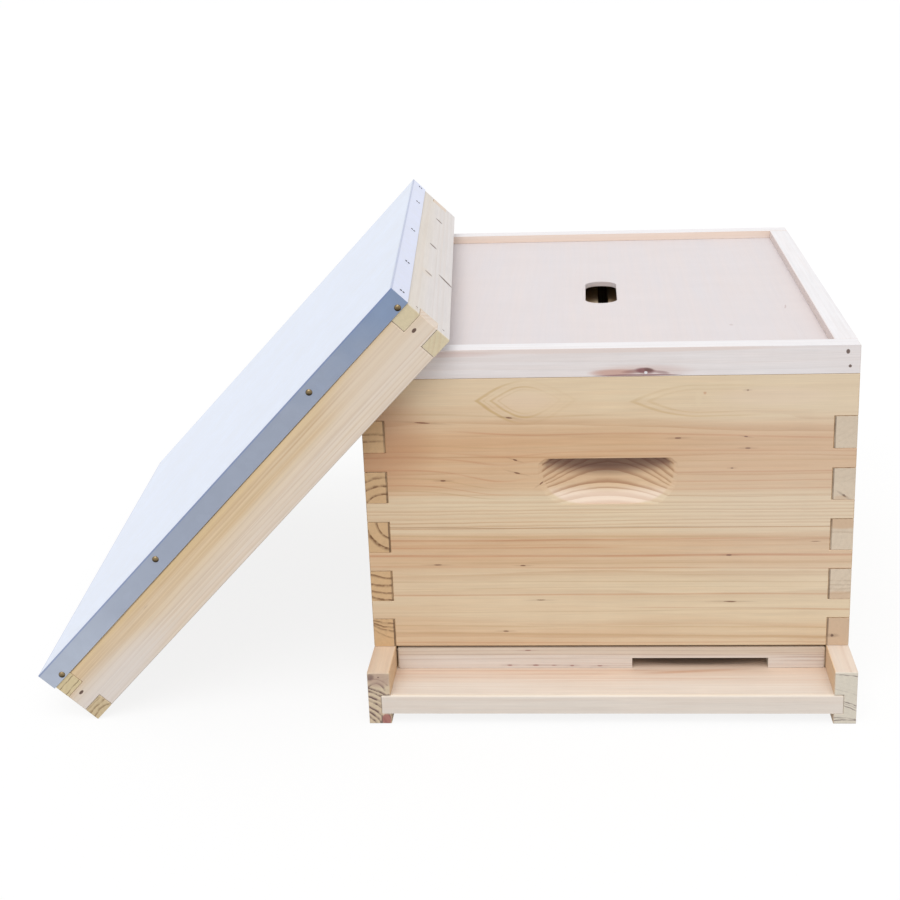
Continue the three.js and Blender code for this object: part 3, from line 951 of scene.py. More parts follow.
def make_camera(stage):
    """A camera from its place, pitch, yaw and roll, whose axis meets the picture off its middle."""
    camera = bpy.data.objects.new("camera", bpy.data.cameras.new("camera"))
    bpy.context.scene.collection.objects.link(camera)
    cos, sin = math.cos, math.sin
    level_ahead = np.array((sin(stage.yaw), cos(stage.yaw), 0.0))
    ahead = level_ahead * cos(stage.pitch) - AXIS_Z * sin(stage.pitch)
    right = np.array((cos(stage.yaw), -sin(stage.yaw), 0.0))
    up = np.cross(right, ahead)
    level = cos(stage.roll) * right + sin(stage.roll) * up
    upright = cos(stage.roll) * up - sin(stage.roll) * right
    matrix = np.eye(4)
    matrix[:3, :3] = np.column_stack((level, upright, -ahead))
    matrix[:3, 3] = hive_middle() + np.array(stage.camera)
    camera.matrix_world = Matrix(matrix.tolist())
    camera.data.sensor_width = 36
    camera.data.lens = stage.focal_pixels / PICTURE * camera.data.sensor_width
    camera.data.shift_x = (PICTURE / 2 - stage.axis_pixel[0]) / PICTURE
    camera.data.shift_y = (stage.axis_pixel[1] - PICTURE / 2) / PICTURE
    bpy.context.scene.camera = camera


def floor_finish(stage):
    """A pale floor. The camera and the metal see it whiter and glowing a little, so that it is
    as white as the backdrop and still holds the hive's soft shadow."""
    finish = new_finish("floor_white")
    seen = finish.seen()
    paint = finish.mix(seen, opaque(stage.floor), opaque(stage.floor_seen))
    matt = finish.node("ShaderNodeBsdfDiffuse", None, {"Color": paint})
    glow = finish.node("ShaderNodeEmission", None, {"Color": opaque(stage.backdrop), "Strength": 1.0})
    both = finish.node("ShaderNodeMixShader", None, {0: seen * stage.floor_glow, 1: matt, 2: glow})
    finish.node("ShaderNodeOutputMaterial", None, {"Surface": both})
    return finish.owner


def make_floor(stage):
    """A round floor: rings of points at growing distances round the hive's middle."""
    profile = [(radius / MM, -FLOOR_DROP) for radius in (*FLOOR_RINGS, stage.floor_radius)]
    disc = turned(profile, np.zeros(3), AXIS_Z, sides=96)
    new_piece("floor", [disc], floor_finish(stage), None, smooth=False)


def make_key(stage):
    """A soft sun that shines from its place towards the hive."""
    lamp = bpy.data.lights.new("key", "SUN")
    lamp.energy = stage.key
    lamp.angle = stage.key_angle
    made = bpy.data.objects.new("key", lamp)
    place = np.array(stage.key_place)
    back = place / np.linalg.norm(place)
    right = np.cross(AXIS_Z, back)
    right /= np.linalg.norm(right)
    matrix = np.eye(4)
    matrix[:3, :3] = np.column_stack((right, np.cross(back, right), back))
    matrix[:3, 3] = place
    made.matrix_world = Matrix(matrix.tolist())
    bpy.context.scene.collection.objects.link(made)


def make_world(stage):
    """A world that lights softly, and that the camera, metal and glass see as white."""
    finish = Finish(bpy.data.worlds.new("studio"))
    strength = finish.between(finish.seen(), stage.sky, 1.0)
    sockets = {"Color": opaque(stage.backdrop), "Strength": strength}
    background = finish.node("ShaderNodeBackground", None, sockets)
    finish.node("ShaderNodeOutputWorld", None, {"Surface": background})
    bpy.context.scene.world = finish.owner


class StageLook(bpy.types.PropertyGroup):
    camera: location(
        "Camera",
        "Place of the camera from the floor under the brood box's middle",
        (-13.12 * MM, -1482.02 * MM, 650.47 * MM),
    )
    pitch: bearing("Pitch", "How far down the camera looks", 17.789)
    yaw: bearing("Yaw", "How far the camera turns right", -3.844)
    roll: bearing("Roll", "How far the camera rolls", -1.848)
    focal_pixels: amount("Focal Length", "In pixels of a picture 900 wide", 1544.92, min=1)
    axis_pixel: FloatVectorProperty(
        name="Axis",
        description="Pixel of the 900 picture that the camera's axis meets",
        size=2,
        default=(492.66, 421.14),
    )
    floor: colour("Floor", "Colour of the floor as it lights the hive", 0xC4C4C4)
    floor_seen: colour("Floor Seen", "Colour of the floor as the camera sees it", 0xF4F4F4)
    backdrop: colour("Backdrop", "Colour of the backdrop and of the floor's glow", 0xFFFFFF)
    floor_radius: length("Floor Radius", "How far the floor reaches", 40.0)
    floor_glow: amount("Floor Glow", "Share of the floor that the camera sees glow", 0.86, max=1)
    sky: amount("Sky", "Strength of the soft light all round", 0.74)
    key: amount("Key", "Strength of the soft light from above", 1.55)
    key_angle: bearing("Key Size", "How wide the soft light is", 50)
    key_place: location("Key Place", "Where the soft light shines from", (-0.2, -1.6, 2.6))


class HIVE_OT_stage(bpy.types.Operator):
    """Make the floor, the soft studio light and the camera"""

    bl_idname = "hive.stage"
    bl_label = "Stage"

    def execute(self, context):
        stage = context.scene.hive_stage
        context.scene.view_settings.view_transform = "Standard"
        make_camera(stage)
        make_floor(stage)
        make_world(stage)
        make_key(stage)
        return {"FINISHED"}


class WoodLook(bpy.types.PropertyGroup):
    box_early: colour("Box Early Wood", "Pale wood of the brood box", 0xDECAAC)
    box_late: colour("Box Late Wood", "Lines of the brood box", 0xAE7B50)
    box_blush: colour("Box Blush", "Warm wood of the brood box", 0xCEA57E)
    left_end: colour("Left End Grain", "End grain of the left board", 0xCDA87C)
    left_end_late: colour("Left End Lines", "Lines in the left board's end grain", 0x6F4A2E)
    right_end: colour("Right End Grain", "End grain of the right board", 0xD0C2B0)
    right_end_late: colour("Right End Lines", "Lines in the right board's end grain", 0xA38B72)
    right_end_brown: colour("Right End Brown", "Heartwood in the right board's end grain", 0xC9A888)
    line_red: colour("Reddish Lines", "Reddish lines of the front board", 0xBE8765)
    line_tan: colour("Tan Lines", "Tan lines of the front board", 0xB99970)
    line_grey: colour("Grey Lines", "Greyish lines of the front board", 0x9F8268)
    line_gold: colour("Golden Lines", "Golden lines round the front board's eyes", 0xBE9C64)
    # Painted warm shade under the leaning cover at the front board's upper left
    left_painted_shade: colour("Left Red", "Redder wood at the front board's upper left", 0xB58260)
    line_pink: colour("Pink Wood", "Pinkish wood inside the front board's eyes", 0xE2CBB5)
    fleck: colour("Fleck", "Flecks of resin", 0x6E4430)
    # Painted shade under a handhold's lip, over the cutter's scorch
    scorch_and_shade: colour("Scorch", "Wood scorched by the cutter in the handhold", 0x5E3A36)
    # Painted light where a handhold's foot faces up, over fresh cut wood
    cut: colour("Cut Wood", "Freshly cut wood at the foot of a handhold", 0xF2DED0)
    pale_early: colour("Bottom Early Wood", "Pale wood of the bottom board", 0xE0D6CC)
    pale_late: colour("Bottom Late Wood", "Lines of the bottom board", 0xC4A58F)
    pale_blush: colour("Bottom Blush", "Reddish wood of the bottom board", 0xD8BDA6)
    pale_end: colour("Bottom End Grain", "End grain of the bottom board", 0xD6D0C1)
    dark_end: colour("Rail End Lines", "Lines in the end grain of the rails", 0x50303A)
    landing_edge: colour("Landing Edge", "Cream wood along the landing's front edge", 0xF0E3CC)
    # Painted shadow inside the entrance notch, on the floor under the reducer
    entrance: colour("Entrance", "Wood in the dark of the entrance", 0x2E2024)
    end_purple: colour("Rail End Stain", "Purplish wood at the top of the left rail's end", 0xA8897F)
    knot_end: colour("Rail End Knot", "Pink knot at the foot of the left rail's end", 0xA46A64)
    left_rail_end: colour("Left Rail End", "End grain of the left rail", 0xD0BEA2)
    rail_early: colour("Left Rail Early Wood", "Pale wood of the left rail", 0xE2D0BC)
    rail_blush: colour("Left Rail Blush", "Warm wood of the left rail", 0xD4B496)
    right_rail_early: colour("Right Rail Early Wood", "Pale wood of the right rail", 0xE2D8CD)
    # Painted warm bounce light on the rails' inner faces
    lining: colour("Rail Lining", "Yellower wood of the rails' inner faces", 0xD8B78E)
    reducer_early: colour("Reducer Early Wood", "Pinkish grey wood of the reducer", 0xDDD3CB)
    reducer_blush: colour("Reducer Blush", "Beige wood of the reducer", 0xCFBCA6)
    reducer_late: colour("Reducer Lines", "Lines of the reducer", 0xA98A7C)
    reducer_fleck: colour("Reducer Flecks", "Flecks of the reducer", 0x8A5550)
    white_early: colour("Inner Cover Wood", "Whitish wood of the inner cover", 0xE5E3E5)
    white_late: colour("Inner Cover Lines", "Lines of the inner cover", 0xD0C0B9)
    white_blush: colour("Inner Cover Blush", "Pinkish wood of the inner cover", 0xDFD0CA)
    back_lining: colour("Rear Rim Lining", "Warm inner face of the inner cover's rear rim", 0xE8D2C0)
    knot: colour("Knot", "Middle of the knot", 0x7A4448)
    knot_edge: colour("Knot Edge", "Wood round the knot", 0xC39A8C)
    ply_early: colour("Panel", "Veneer of the thin panel", 0xD5CFD1)
    ply_late: colour("Panel Figure", "Faint figure of the veneer", 0xD0C6C6)
    ply_mark: colour("Panel Mark", "Marks on the veneer", 0xB39C9A)
    cover_early: colour("Cover Early Wood", "Pinkish pale wood of the cover", 0xE0D2C3)
    cover_late: colour("Cover Late Wood", "Lines of the cover", 0xB9946C)
    cover_blush: colour("Cover Blush", "Yellow wood of the cover", 0xDABF95)
    cover_end: colour("Cover End Grain", "End grain of the cover's short rims", 0xD2C29A)
    # Painted shade at the foot of the lower rim's end grain, by the floor
    cover_end_painted_shade: colour("Cover End Brown", "Browner end grain at the cover's foot", 0xBFA27C)
    cover_end_late: colour("Cover End Lines", "Lines in the end grain of the lower rim", 0x5E4028)
    cover_pink: colour("Cover Pink", "End grain of the cover's long rims", 0xE2D3C6)
    upper_early: colour("Upper Rim", "Whitish wood of the cover's upper rim", 0xDDD8D7)
    upper_blush: colour("Upper Rim Blush", "Beige wood of the cover's upper rim", 0xDED5C9)
    frame_early: colour("Frame Wood", "Wood of the frames", 0xDDC39A)
    frame_late: colour("Frame Lines", "Lines of the frames", 0xB88E5E)
    split: colour("Split", "Inside of a split in the wood", 0x5A4238)


class HIVE_OT_brood_box(bpy.types.Operator):
    """Give the four boards of the brood box their pine"""

    bl_idname = "hive.brood_box"
    bl_label = "Brood Box"

    def execute(self, context):
        woods = context.scene.hive_woods
        pine = Look(
            woods.box_early,
            woods.box_late,
            woods.box_blush,
            woods.left_end,
            woods.left_end_late,
            end_contrast=0.85,
            scorch_and_shade=woods.scorch_and_shade,
            cut=woods.cut,
        )
        self.front(woods, pine)
        self.back(pine)
        self.left(pine)
        self.right(woods, pine)
        return {"FINISHED"}

    def front(self, woods, pine):
        """Two planks: quiet wood with two faint eyes over straight lines."""
        planks = [Plank(0, 3, 38, -62, 4.6), Plank(110.5, 1, 225, -100, 2.3)]
        lower_zones = ((0.0, 0.5), (0.08, 0.45), (0.12, 0.2), (0.28, 0.25), (0.31, 0.62), (0.415, 0.7))
        upper_zones = ((0.44, 0.3), (0.56, 0.15), (0.6, 0.75), (0.78, 0.9), (0.86, 0.35), (1.0, 0.15))
        dips = (Figure(118, 150, 42, 26, 11), Figure(140, 200, 50, 16, 3))
        look = dataclasses.replace(
            pine,
            zones=lower_zones + upper_zones,
            # Warmer at the left end: partly the wood's tone, partly painted shade under the leaning cover
            pale_end=0.25,
            contrast=0.45,
            calm=((0.0, 1.0), (0.83, 1.0), (0.88, 0.2), (1.0, 0.2)),
            lines=self.front_lines(woods),
            dips=dips,
            eyes=self.front_eyes(woods),
            fleck_rarity=0.975,
        )
        axes, marks = (AXIS_X, AXIS_Z, -AXIS_Y), self.front_marks(woods)
        timber("front_board", axes, "box_pine", "front_pine", look, planks, marks=marks)

    def front_lines(self, woods):
        """Lines along the grain: the lower plank's from its joint down, then the upper one's."""
        red, tan, grey = woods.line_red, woods.line_tan, woods.line_grey
        return (
            Line(111.5, 0.9, 0.5, grey, 0.5),
            Line(104.5, 1.5, 0.45, tan, 4),
            Line(100, 1.1, 0.5, red),
            Line(93, 1.0, 0.5, red, 0, 0, 0.5),
            Line(86.3, 1.6, 0.75, red, 2),
            Line(79.5, 1.0, 0.3, tan, 2),
            Line(76, 1.1, 0.45, red, 4),
            Line(68, 0.8, 0.25, tan, 2),
            Line(61, 0.9, 0.35, tan, 1),
            Line(54, 0.8, 0.25, tan, -2),
            Line(48.5, 1.2, 0.5, red),
            Line(39, 1.0, 0.45, red, 5, 0.55),
            Line(32, 0.8, 0.25, tan, -2),
            Line(20, 1.2, 0.4, tan, 3),
            Line(13, 1.6, 0.45, tan, 5),
            Line(3, 1.0, 0.4, red),
            Line(214.5, 1.2, 0.35, tan, 5, 0.05, 0.5),
            Line(201.5, 1.2, 0.5, red, 12, 0.2),
            Line(187, 1.0, 0.25, tan, 4),
            Line(181, 0.9, 0.3, red, 3),
            Line(175.3, 0.9, 0.4, red, 0, 0, 0.33),
            Line(164.5, 1.0, 0.5, red, 0, 0, 0.3),
            Line(157.3, 0.9, 0.4, tan, 0, 0, 0.3),
            Line(151, 0.9, 0.5, red, 0, 0, 0.28),
            Line(145.5, 0.9, 0.45, tan, 0, 0, 0.27),
            Line(170.5, 0.8, 0.35, tan, 0, 0.62),
            Line(160.8, 0.9, 0.5, red, 0, 0.62),
            Line(152.8, 0.9, 0.45, red, 0, 0.62),
            Line(145.6, 0.9, 0.35, red, 0, 0.62),
            Line(140.2, 0.8, 0.35, tan, 0, 0.62),
        )

    def front_eyes(self, woods):
        """The two faint eyes in the upper plank."""
        left_eye = (
            (1.0, 0.08, 0.6, 140),
            (0.7, 0.06, 0.55, 160),
            (0.55, 0.04, 0.35, 150),
            (0.86, 0.03, 0.3, 125),
        )
        right_eye = ((1.0, 0.09, 0.35, 340), (0.75, 0.08, 0.25, 330))
        return (
            Eye(138, 225, 40, 42, 17, 0.6, woods.line_gold, 0.75, left_eye),
            Eye(282, 223, 54, 400, 13, 0.55, woods.line_gold, 0.5, right_eye),
        )

    def front_marks(self, woods):
        """Flecks of resin; patches of paler and pinker wood; a wide pale patch over the right that is partly
        painted light; and a redder patch at the upper left that is painted warm shade under the leaning
        cover.
        """
        # Each fleck's place along and across, its reach and spread, and its turn
        flecks = (
            (51.4, 206.4, 8, 0.9, -4),
            (124.6, 209.9, 3.5, 0.8, -8),
            (128.7, 172.6, 2.5, 0.8, -20),
            (130.1, 161.0, 3.5, 0.8, -15),
            (67.0, 154.4, 3, 0.8, 0),
            (150.5, 151.5, 2.5, 0.7, 35),
            (265.2, 190.6, 3.4, 0.8, 0),
            (321.4, 191.3, 2, 0.8, -10),
            (323.2, 181.1, 3, 0.9, 0),
            (310.3, 163.6, 1.5, 0.8, 0),
            (322.2, 231.6, 1.4, 0.7, 0),
            (59.5, 77.2, 4.5, 0.7, 0),
            (133.0, 76.3, 3, 0.7, 0),
            (147.9, 43.8, 5, 0.7, 0),
            (310.6, 41.6, 7, 0.7, 0),
            (116.6, 14.3, 3, 0.7, 0),
            (309.0, 84.9, 3, 0.7, 0),
        )
        resin = [Mark(*fleck[:4], woods.fleck, 0.85, fleck[4], halo=0.22) for fleck in flecks]
        patches = [
            Mark(138, 225, 34, 11, woods.line_pink, 0.35, core=0.0),
            Mark(345, 226, 60, 10, woods.line_pink, 0.35, core=0.0),
            # A wide pale patch over the right: partly the wood's tone, partly painted light
            Mark(395, 150, 190, 130, woods.white_blush, 0.13, core=0.0),
            # Painted warm shade at the upper left, under the leaning cover
            Mark(0, 190, 70, 60, woods.left_painted_shade, 0.5, core=0.0),
            Mark(282, 225, 3.5, 8, woods.box_early, 0.5, core=0.2),
            Mark(287.1, 229.5, 1.6, 1.4, woods.line_red, 0.5, core=0.2),
        ]
        return resin + patches

    def back(self, pine):
        """Two planks of plainer wood, with an oval figure in each."""
        planks = [Plank(0, 7, 60, 90, 4.4), Plank(118, 8, 210, 70, 4.0, 0.98)]
        figures = [Figure(150, 60, 60, 16, 9), Figure(330, 205, 70, 14, -8)]
        axes = (AXIS_X, AXIS_Z, AXIS_Y)
        timber("back_board", axes, "box_pine", "back_pine", pine, planks, figures)

    def left(self, pine):
        """Three planks, whose ends show on the front as tan fingers with strong rings."""
        planks = (
            Plank(0, 11, 26, 42, 4.2),
            Plank(74, 12, 112, -14, 4.4, 0.97),
            Plank(170, 13, 160, 60, 4.0),
        )
        arcs = (
            Arc(9, 46, 150, 1.0, 0.5, 178, 210),
            Arc(9, 46, 144, 1.0, 0.6, 178, 210),
            Arc(17, 121.5, 36, 1.1, 0.6, 132, 165),
            Arc(17, 113.5, 36, 1.1, 0.85, 132, 165),
            Arc(17, 122.5, 20, 1.0, 0.85, 132, 165),
            Arc(25, 118, 16.5, 1.0, 0.8, 87, 119),
            Arc(25, 118, 26, 1.4, 0.95, 87, 119),
            Arc(19, 115.5, 50, 1.0, 0.75, 42, 72),
            Arc(14, 148.6, 90, 1.1, 0.8, 42, 72),
            Arc(16, 111.5, 60, 1.0, 0.7, 42, 72),
            Arc(19, 94.5, 50, 1.2, 0.85, 42, 72),
            Arc(19, 92.5, 70, 0.9, 0.7, 0, 28),
            Arc(19, 63.5, 45, 0.9, 0.75, 0, 28),
            Arc(19, 48, 33, 0.9, 0.6, 0, 28),
            Arc(24, 44, 36, 0.8, 0.35, 0, 28),
        )
        look = dataclasses.replace(pine, end_contrast=0.06, crack_share=0.9, arcs=arcs)
        timber("left_board", (AXIS_Y, AXIS_Z, -AXIS_X), "box_pine", "left_pine", look, planks)

    def right(self, woods, pine):
        """Three planks, whose ends show on the front as pale fingers with hardly a ring."""
        planks = [Plank(0, 17, 9, 9, 3.2), Plank(36, 18, 110, 60, 4.2, 1.03), Plank(150, 19, 250, 50, 4.0)]
        figures = [Figure(330, 90, 70, 16, 10), Figure(120, 200, 50, 13, -9)]
        marks = (
            Mark(9.5, 13, 17, 20, woods.right_end_brown, 0.65, core=0.5, end=True),
            Mark(14.4, 9.2, 1.9, 1.7, woods.split, 0.85, core=0.2, end=True, halo=0.35),
            Mark(9.5, 43, 26, 9, woods.right_end_brown, 0.55, core=0.5, end=True),
            Mark(9.5, 118, 26, 11, woods.right_end_brown, 0.7, core=0.6, end=True),
            Mark(9.0, 138, 2.6, 1.0, woods.split, 0.8, 35, end=True, halo=0.35),
            Mark(12, 136, 8, 3, woods.right_end_brown, 0.4, core=0.1, end=True),
        )
        arcs = (
            Arc(9, 200, 139, 0.7, 0.3, 42, 72),
            Arc(9, 200, 143, 0.7, 0.35, 42, 72),
            Arc(12, 130, 77, 0.9, 0.3, 42, 72),
            Arc(12, 130, 81, 0.9, 0.35, 42, 72),
            Arc(14, 20, 85, 0.9, 0.3, 87, 118),
        )
        look = dataclasses.replace(
            pine,
            end=woods.right_end,
            end_late=woods.right_end_late,
            end_contrast=0.12,
            crack_share=0.75,
            arcs=arcs,
        )
        axes = (AXIS_Y, AXIS_Z, AXIS_X)
        timber("right_board", axes, "box_pine", "right_pine", look, planks, figures, marks)


class HIVE_OT_bottom_board(bpy.types.Operator):
    """Give the rails, the floor, the cleat and the entrance reducer their fir"""

    bl_idname = "hive.bottom_board"
    bl_label = "Bottom Board"

    def execute(self, context):
        woods = context.scene.hive_woods
        early, late, blush = woods.pale_early, woods.pale_late, woods.pale_blush
        fir = Look(early, late, blush, woods.pale_end, woods.dark_end, contrast=0.35)
        self.left_rail(woods, fir)
        self.right_rail(woods, fir)
        self.floor(woods, fir)
        self.reducer(woods, fir)
        return {"FINISHED"}

    def left_rail(self, woods, fir):
        """A rail whose end shows dark rings that curve over its foot, and a pink knot."""
        radii = (19.4, 23.3, 27.4, 33.1, 36.8, 41.4, 44.6)
        foot = [Arc(-11.2, -9.6, radius, 1.0, 0.9, -1, 36) for radius in radii]
        swirl = [Arc(7, 30.5, 7, 0.9, 0.7, 31, 40), Arc(5, 28, 14, 0.8, 0.45, 36, 47)]
        marks = (
            Mark(10, 42, 14, 9, woods.end_purple, 0.55, core=0.2, end=True),
            Mark(2, 44, 5, 4, woods.dark_end, 0.55, 10, core=0.1, end=True),
            Mark(17, 27, 4, 1.2, woods.dark_end, 0.5, 20, end=True),
            Mark(9.5, 44, 1, 0.8, woods.dark_end, 0.7, end=True),
            Mark(15, 4, 4.4, 5.8, woods.knot_end, 0.9, core=0.6, end=True),
            Mark(11, 4, 0.8, 6, woods.dark_end, 0.6, end=True),
        )
        look = dataclasses.replace(
            fir,
            early=woods.rail_early,
            blush=woods.rail_blush,
            end=woods.left_rail_end,
            end_contrast=0.1,
            contrast=0.5,
            # The inner face gets painted warm bounce light
            lining=woods.lining,
            arcs=(*foot, *swirl),
        )
        axes, planks = (AXIS_Y, AXIS_Z, -AXIS_X), [Plank(0, 21, -30, 30, 3.6)]
        timber("left_rail", axes, "bottom_board_wood", "left_rail_fir", look, planks, marks=marks)

    def right_rail(self, woods, fir):
        """A paler rail, with a few dark lines in its end."""
        arcs = (
            Arc(30, -150, 196.2, 0.45, 0.7, 42, 48),
            Arc(40, -60, 86.1, 0.45, 0.75, 0, 30),
            Arc(40, -60, 82.2, 0.45, 0.7, 0, 30),
            Arc(40, -60, 84.4, 0.4, 0.35, 0, 30),
            Arc(40, -60, 95, 0.5, 0.2, 20, 44),
            Arc(10, -60, 63.4, 0.5, 0.8, 0, 8),
            Arc(14, -40, 45.5, 0.5, 0.55, 0, 8),
        )
        look = dataclasses.replace(
            # The inner face gets painted warm bounce light
            fir, early=woods.right_rail_early, end_contrast=0.05, lining=woods.lining, arcs=arcs
        )
        axes, planks = (AXIS_Y, AXIS_Z, AXIS_X), [Plank(0, 22, -60, 45, 3.8)]
        timber("right_rail", axes, "bottom_board_wood", "right_rail_fir", look, planks)

    def floor(self, woods, fir):
        """Three planks that run across the hive, warmest where the landing meets the box, with a painted
        shadow on the floor inside the entrance, and the cleat that closes the back."""
        zones = ((0.0, 0.05), (0.035, 0.1), (0.055, 0.45), (0.085, 0.8), (0.2, 0.4), (1.0, 0.4))
        planks = [Plank(0, 23, -60, 30, 3.2), Plank(140, 26, 60, 70, 4.4), Plank(300, 27, 480, 70, 4.0)]
        lines = (
            Line(46.5, 2.0, 0.45, woods.line_red, 0, 0.05, 0.62),
            Line(40.5, 1.4, 0.35, woods.line_red, 2, 0.0, 0.5),
            Line(34, 1.4, 0.25, woods.line_red, 4, 0.1, 0.8),
            Line(26, 1.4, 0.2, woods.line_red, -3, 0.3),
            Line(18.4, 3.8, 0.5, woods.line_red, -39, 0.6, 0.8),
            Line(1.0, 3.0, 0.35, woods.landing_edge),
        )
        # Painted shadow of the entrance notch on the floor under the reducer
        entrance = Mark(274, 66, 66, 11, woods.entrance, 0.5, core=0.1)
        look = dataclasses.replace(fir, zones=zones, contrast=0.25, streaks=0.8, lines=lines)
        axes = (AXIS_X, AXIS_Y, AXIS_Z)
        timber("floor_board", axes, "bottom_board_wood", "floor_fir", look, planks, marks=[entrance])
        axes, planks = (AXIS_X, AXIS_Z, AXIS_Y), [Plank(0, 24, 60, 30, 4.0)]
        timber("rear_cleat", axes, "bottom_board_wood", "cleat_fir", fir, planks)

    def reducer(self, woods, fir):
        """A pinkish grey bar with a few flecks, browner at its right end."""
        brown = woods.reducer_late
        lines = (
            Line(13.2, 0.7, 0.5, brown, 1),
            Line(16.4, 0.6, 0.3, brown),
            Line(8.6, 0.6, 0.25, brown, -1),
            Line(5.4, 0.6, 0.3, brown, 2, 0.3),
            Line(2.6, 0.6, 0.3, brown, 0, 0.3),
            Line(16, 1.2, 0.5, brown, 2, 0.86),
            Line(12, 1.2, 0.6, brown, 2, 0.9),
            Line(7.5, 1.2, 0.6, brown, 1, 0.9),
        )
        flecks = (
            (98.9, 2.8, 3, 0.8),
            (121.9, 2.6, 3.5, 0.9),
            (138, 2.4, 3, 0.6),
            (153.7, 2.2, 2.5, 0.8),
            (178, 2.0, 3, 0.6),
            (115.2, 17.0, 3.5, 0.8),
        )
        marks = [Mark(*fleck, woods.reducer_fleck, 0.75, halo=0.25) for fleck in flecks]
        look = dataclasses.replace(
            fir,
            early=woods.reducer_early,
            blush=woods.reducer_blush,
            zones=((0.0, 0.1), (0.55, 0.15), (0.7, 0.65), (1.0, 0.7)),
            lines=lines,
        )
        axes, planks = (AXIS_X, AXIS_Z, -AXIS_Y), [Plank(0, 25, -30, 20, 3.0)]
        timber("entrance_reducer", axes, "bottom_board_wood", "reducer_fir", look, planks, marks=marks)


class HIVE_OT_inner_cover(bpy.types.Operator):
    """Give the inner cover its whitish rims and its veneered panel"""

    bl_idname = "hive.inner_cover"
    bl_label = "Inner Cover"

    def execute(self, context):
        woods = context.scene.hive_woods
        self.rims(woods)
        self.panel(woods)
        return {"FINISHED"}

    def rims(self, woods):
        """Four whitish rims, the front one with a flat knot and the stain round it."""
        pale = Look(
            woods.white_early,
            woods.white_late,
            woods.white_blush,
            woods.white_blush,
            woods.white_late,
            contrast=0.4,
            zones=((0.0, 0.35), (0.97, 0.35), (0.995, 0.0), (1.0, 0.0)),
            fleck_rarity=0.985,
        )
        knot = (
            Mark(199, 23.0, 170, 3.2, woods.white_blush, 0.8, core=0.4),
            Mark(60, 20.5, 70, 3.2, woods.knot_edge, 0.35, core=0.1),
            Mark(236, 4.5, 50, 6.5, woods.knot_edge, 0.35, core=0.0),
            Mark(212, 3.4, 24, 3.6, woods.knot_edge, 0.8, 1.5, core=0.1),
            Mark(230, 4.2, 14, 2.4, woods.knot, 0.5, 4, core=0.0),
            Mark(233, 0.9, 42, 0.8, woods.knot, 0.75),
            Mark(238, 4.6, 10, 3.2, woods.knot, 0.8, -3, core=0.2),
            Mark(241, 5.2, 5, 2.0, woods.split, 0.6, -12, core=0.1),
            Mark(251, 3.2, 9, 1.6, woods.knot, 0.5, -8, core=0.1),
            Mark(238.5, 2.9, 1.6, 1.4, woods.white_early, 0.95, core=0.4),
            Mark(402.5, 18.6, 1.8, 2.2, woods.split, 0.9, core=0.5),
            Mark(404.6, 6.3, 1.5, 1.5, woods.split, 0.9, core=0.5),
        )
        for side, along, out, seed, lining, marks in (
            ("front", AXIS_X, -AXIS_Y, 31, None, knot),
            ("back", AXIS_X, AXIS_Y, 32, woods.back_lining, ()),
            ("left", AXIS_Y, -AXIS_X, 33, None, ()),
            ("right", AXIS_Y, AXIS_X, 34, woods.white_blush, ()),
        ):
            rim, axes = "inner_cover_" + side + "_rim", (along, AXIS_Z, out)
            look = dataclasses.replace(pale, lining=lining)
            planks = [Plank(0, seed, 60, 40, 4.2)]
            timber(rim, axes, "inner_cover_wood", side + "_rim_wood", look, planks, marks=marks)

    def panel(self, woods):
        """A thin panel with the wide faint figure of peeled veneer."""
        ply = Look(
            woods.ply_early,
            woods.ply_late,
            woods.white_blush,
            woods.ply_late,
            woods.pale_late,
            contrast=0.25,
            fleck_rarity=1.0,
            sway=24.0,
            fibre=0.05,
            zones=((0.0, 0.2), (1.0, 0.2)),
            drift=0.8,
        )
        marks = (
            Mark(156, 361, 9, 1.0, woods.ply_mark, 0.6, 8, core=0.1),
            Mark(92, 306, 4, 2.5, woods.ply_mark, 0.4, core=0.0),
        )
        axes, planks = (AXIS_Y, AXIS_X, AXIS_Z), [Plank(0, 35, 180, 240, 7.0)]
        timber("inner_cover_panel", axes, "plywood", "panel_ply", ply, planks, marks=marks)


class CoverLook(bpy.types.PropertyGroup):
    top: colour("Top", "Zinc of the cover's top", 0xDFE6F4)
    # The skirts' colours are painted reflection, by the way each side looks, and the fold's is painted shade
    short_skirt_painted_reflection: colour("Short Skirt", "Zinc of the cover's short sides", 0xDCE1F4)
    skirt_painted_reflection: colour("Long Skirt", "Zinc of the cover's long sides", 0x9DA5B6)
    low_skirt_painted_reflection: colour("Pale Skirt", "Zinc at the lower end of the long sides", 0xB4BCCB)
    high_skirt_painted_reflection: colour("Dull Skirt", "Zinc at the upper end of the long sides", 0x8093B2)
    fold_painted_shade: colour("Fold", "Rubbed zinc along the folds", 0x7C8CB4)
    grain_size: amount("Grain", "Size of the zinc's grains, in millimetres", 7, min=1)
    brass: colour("Brass", "Domed nails of the long sides", 0x8C7A5C)
    steel: colour("Steel", "Small nails of the short sides", 0x45454A)
    dome_radius: length("Dome", "Radius of a domed nail's head", 2.9 * MM)


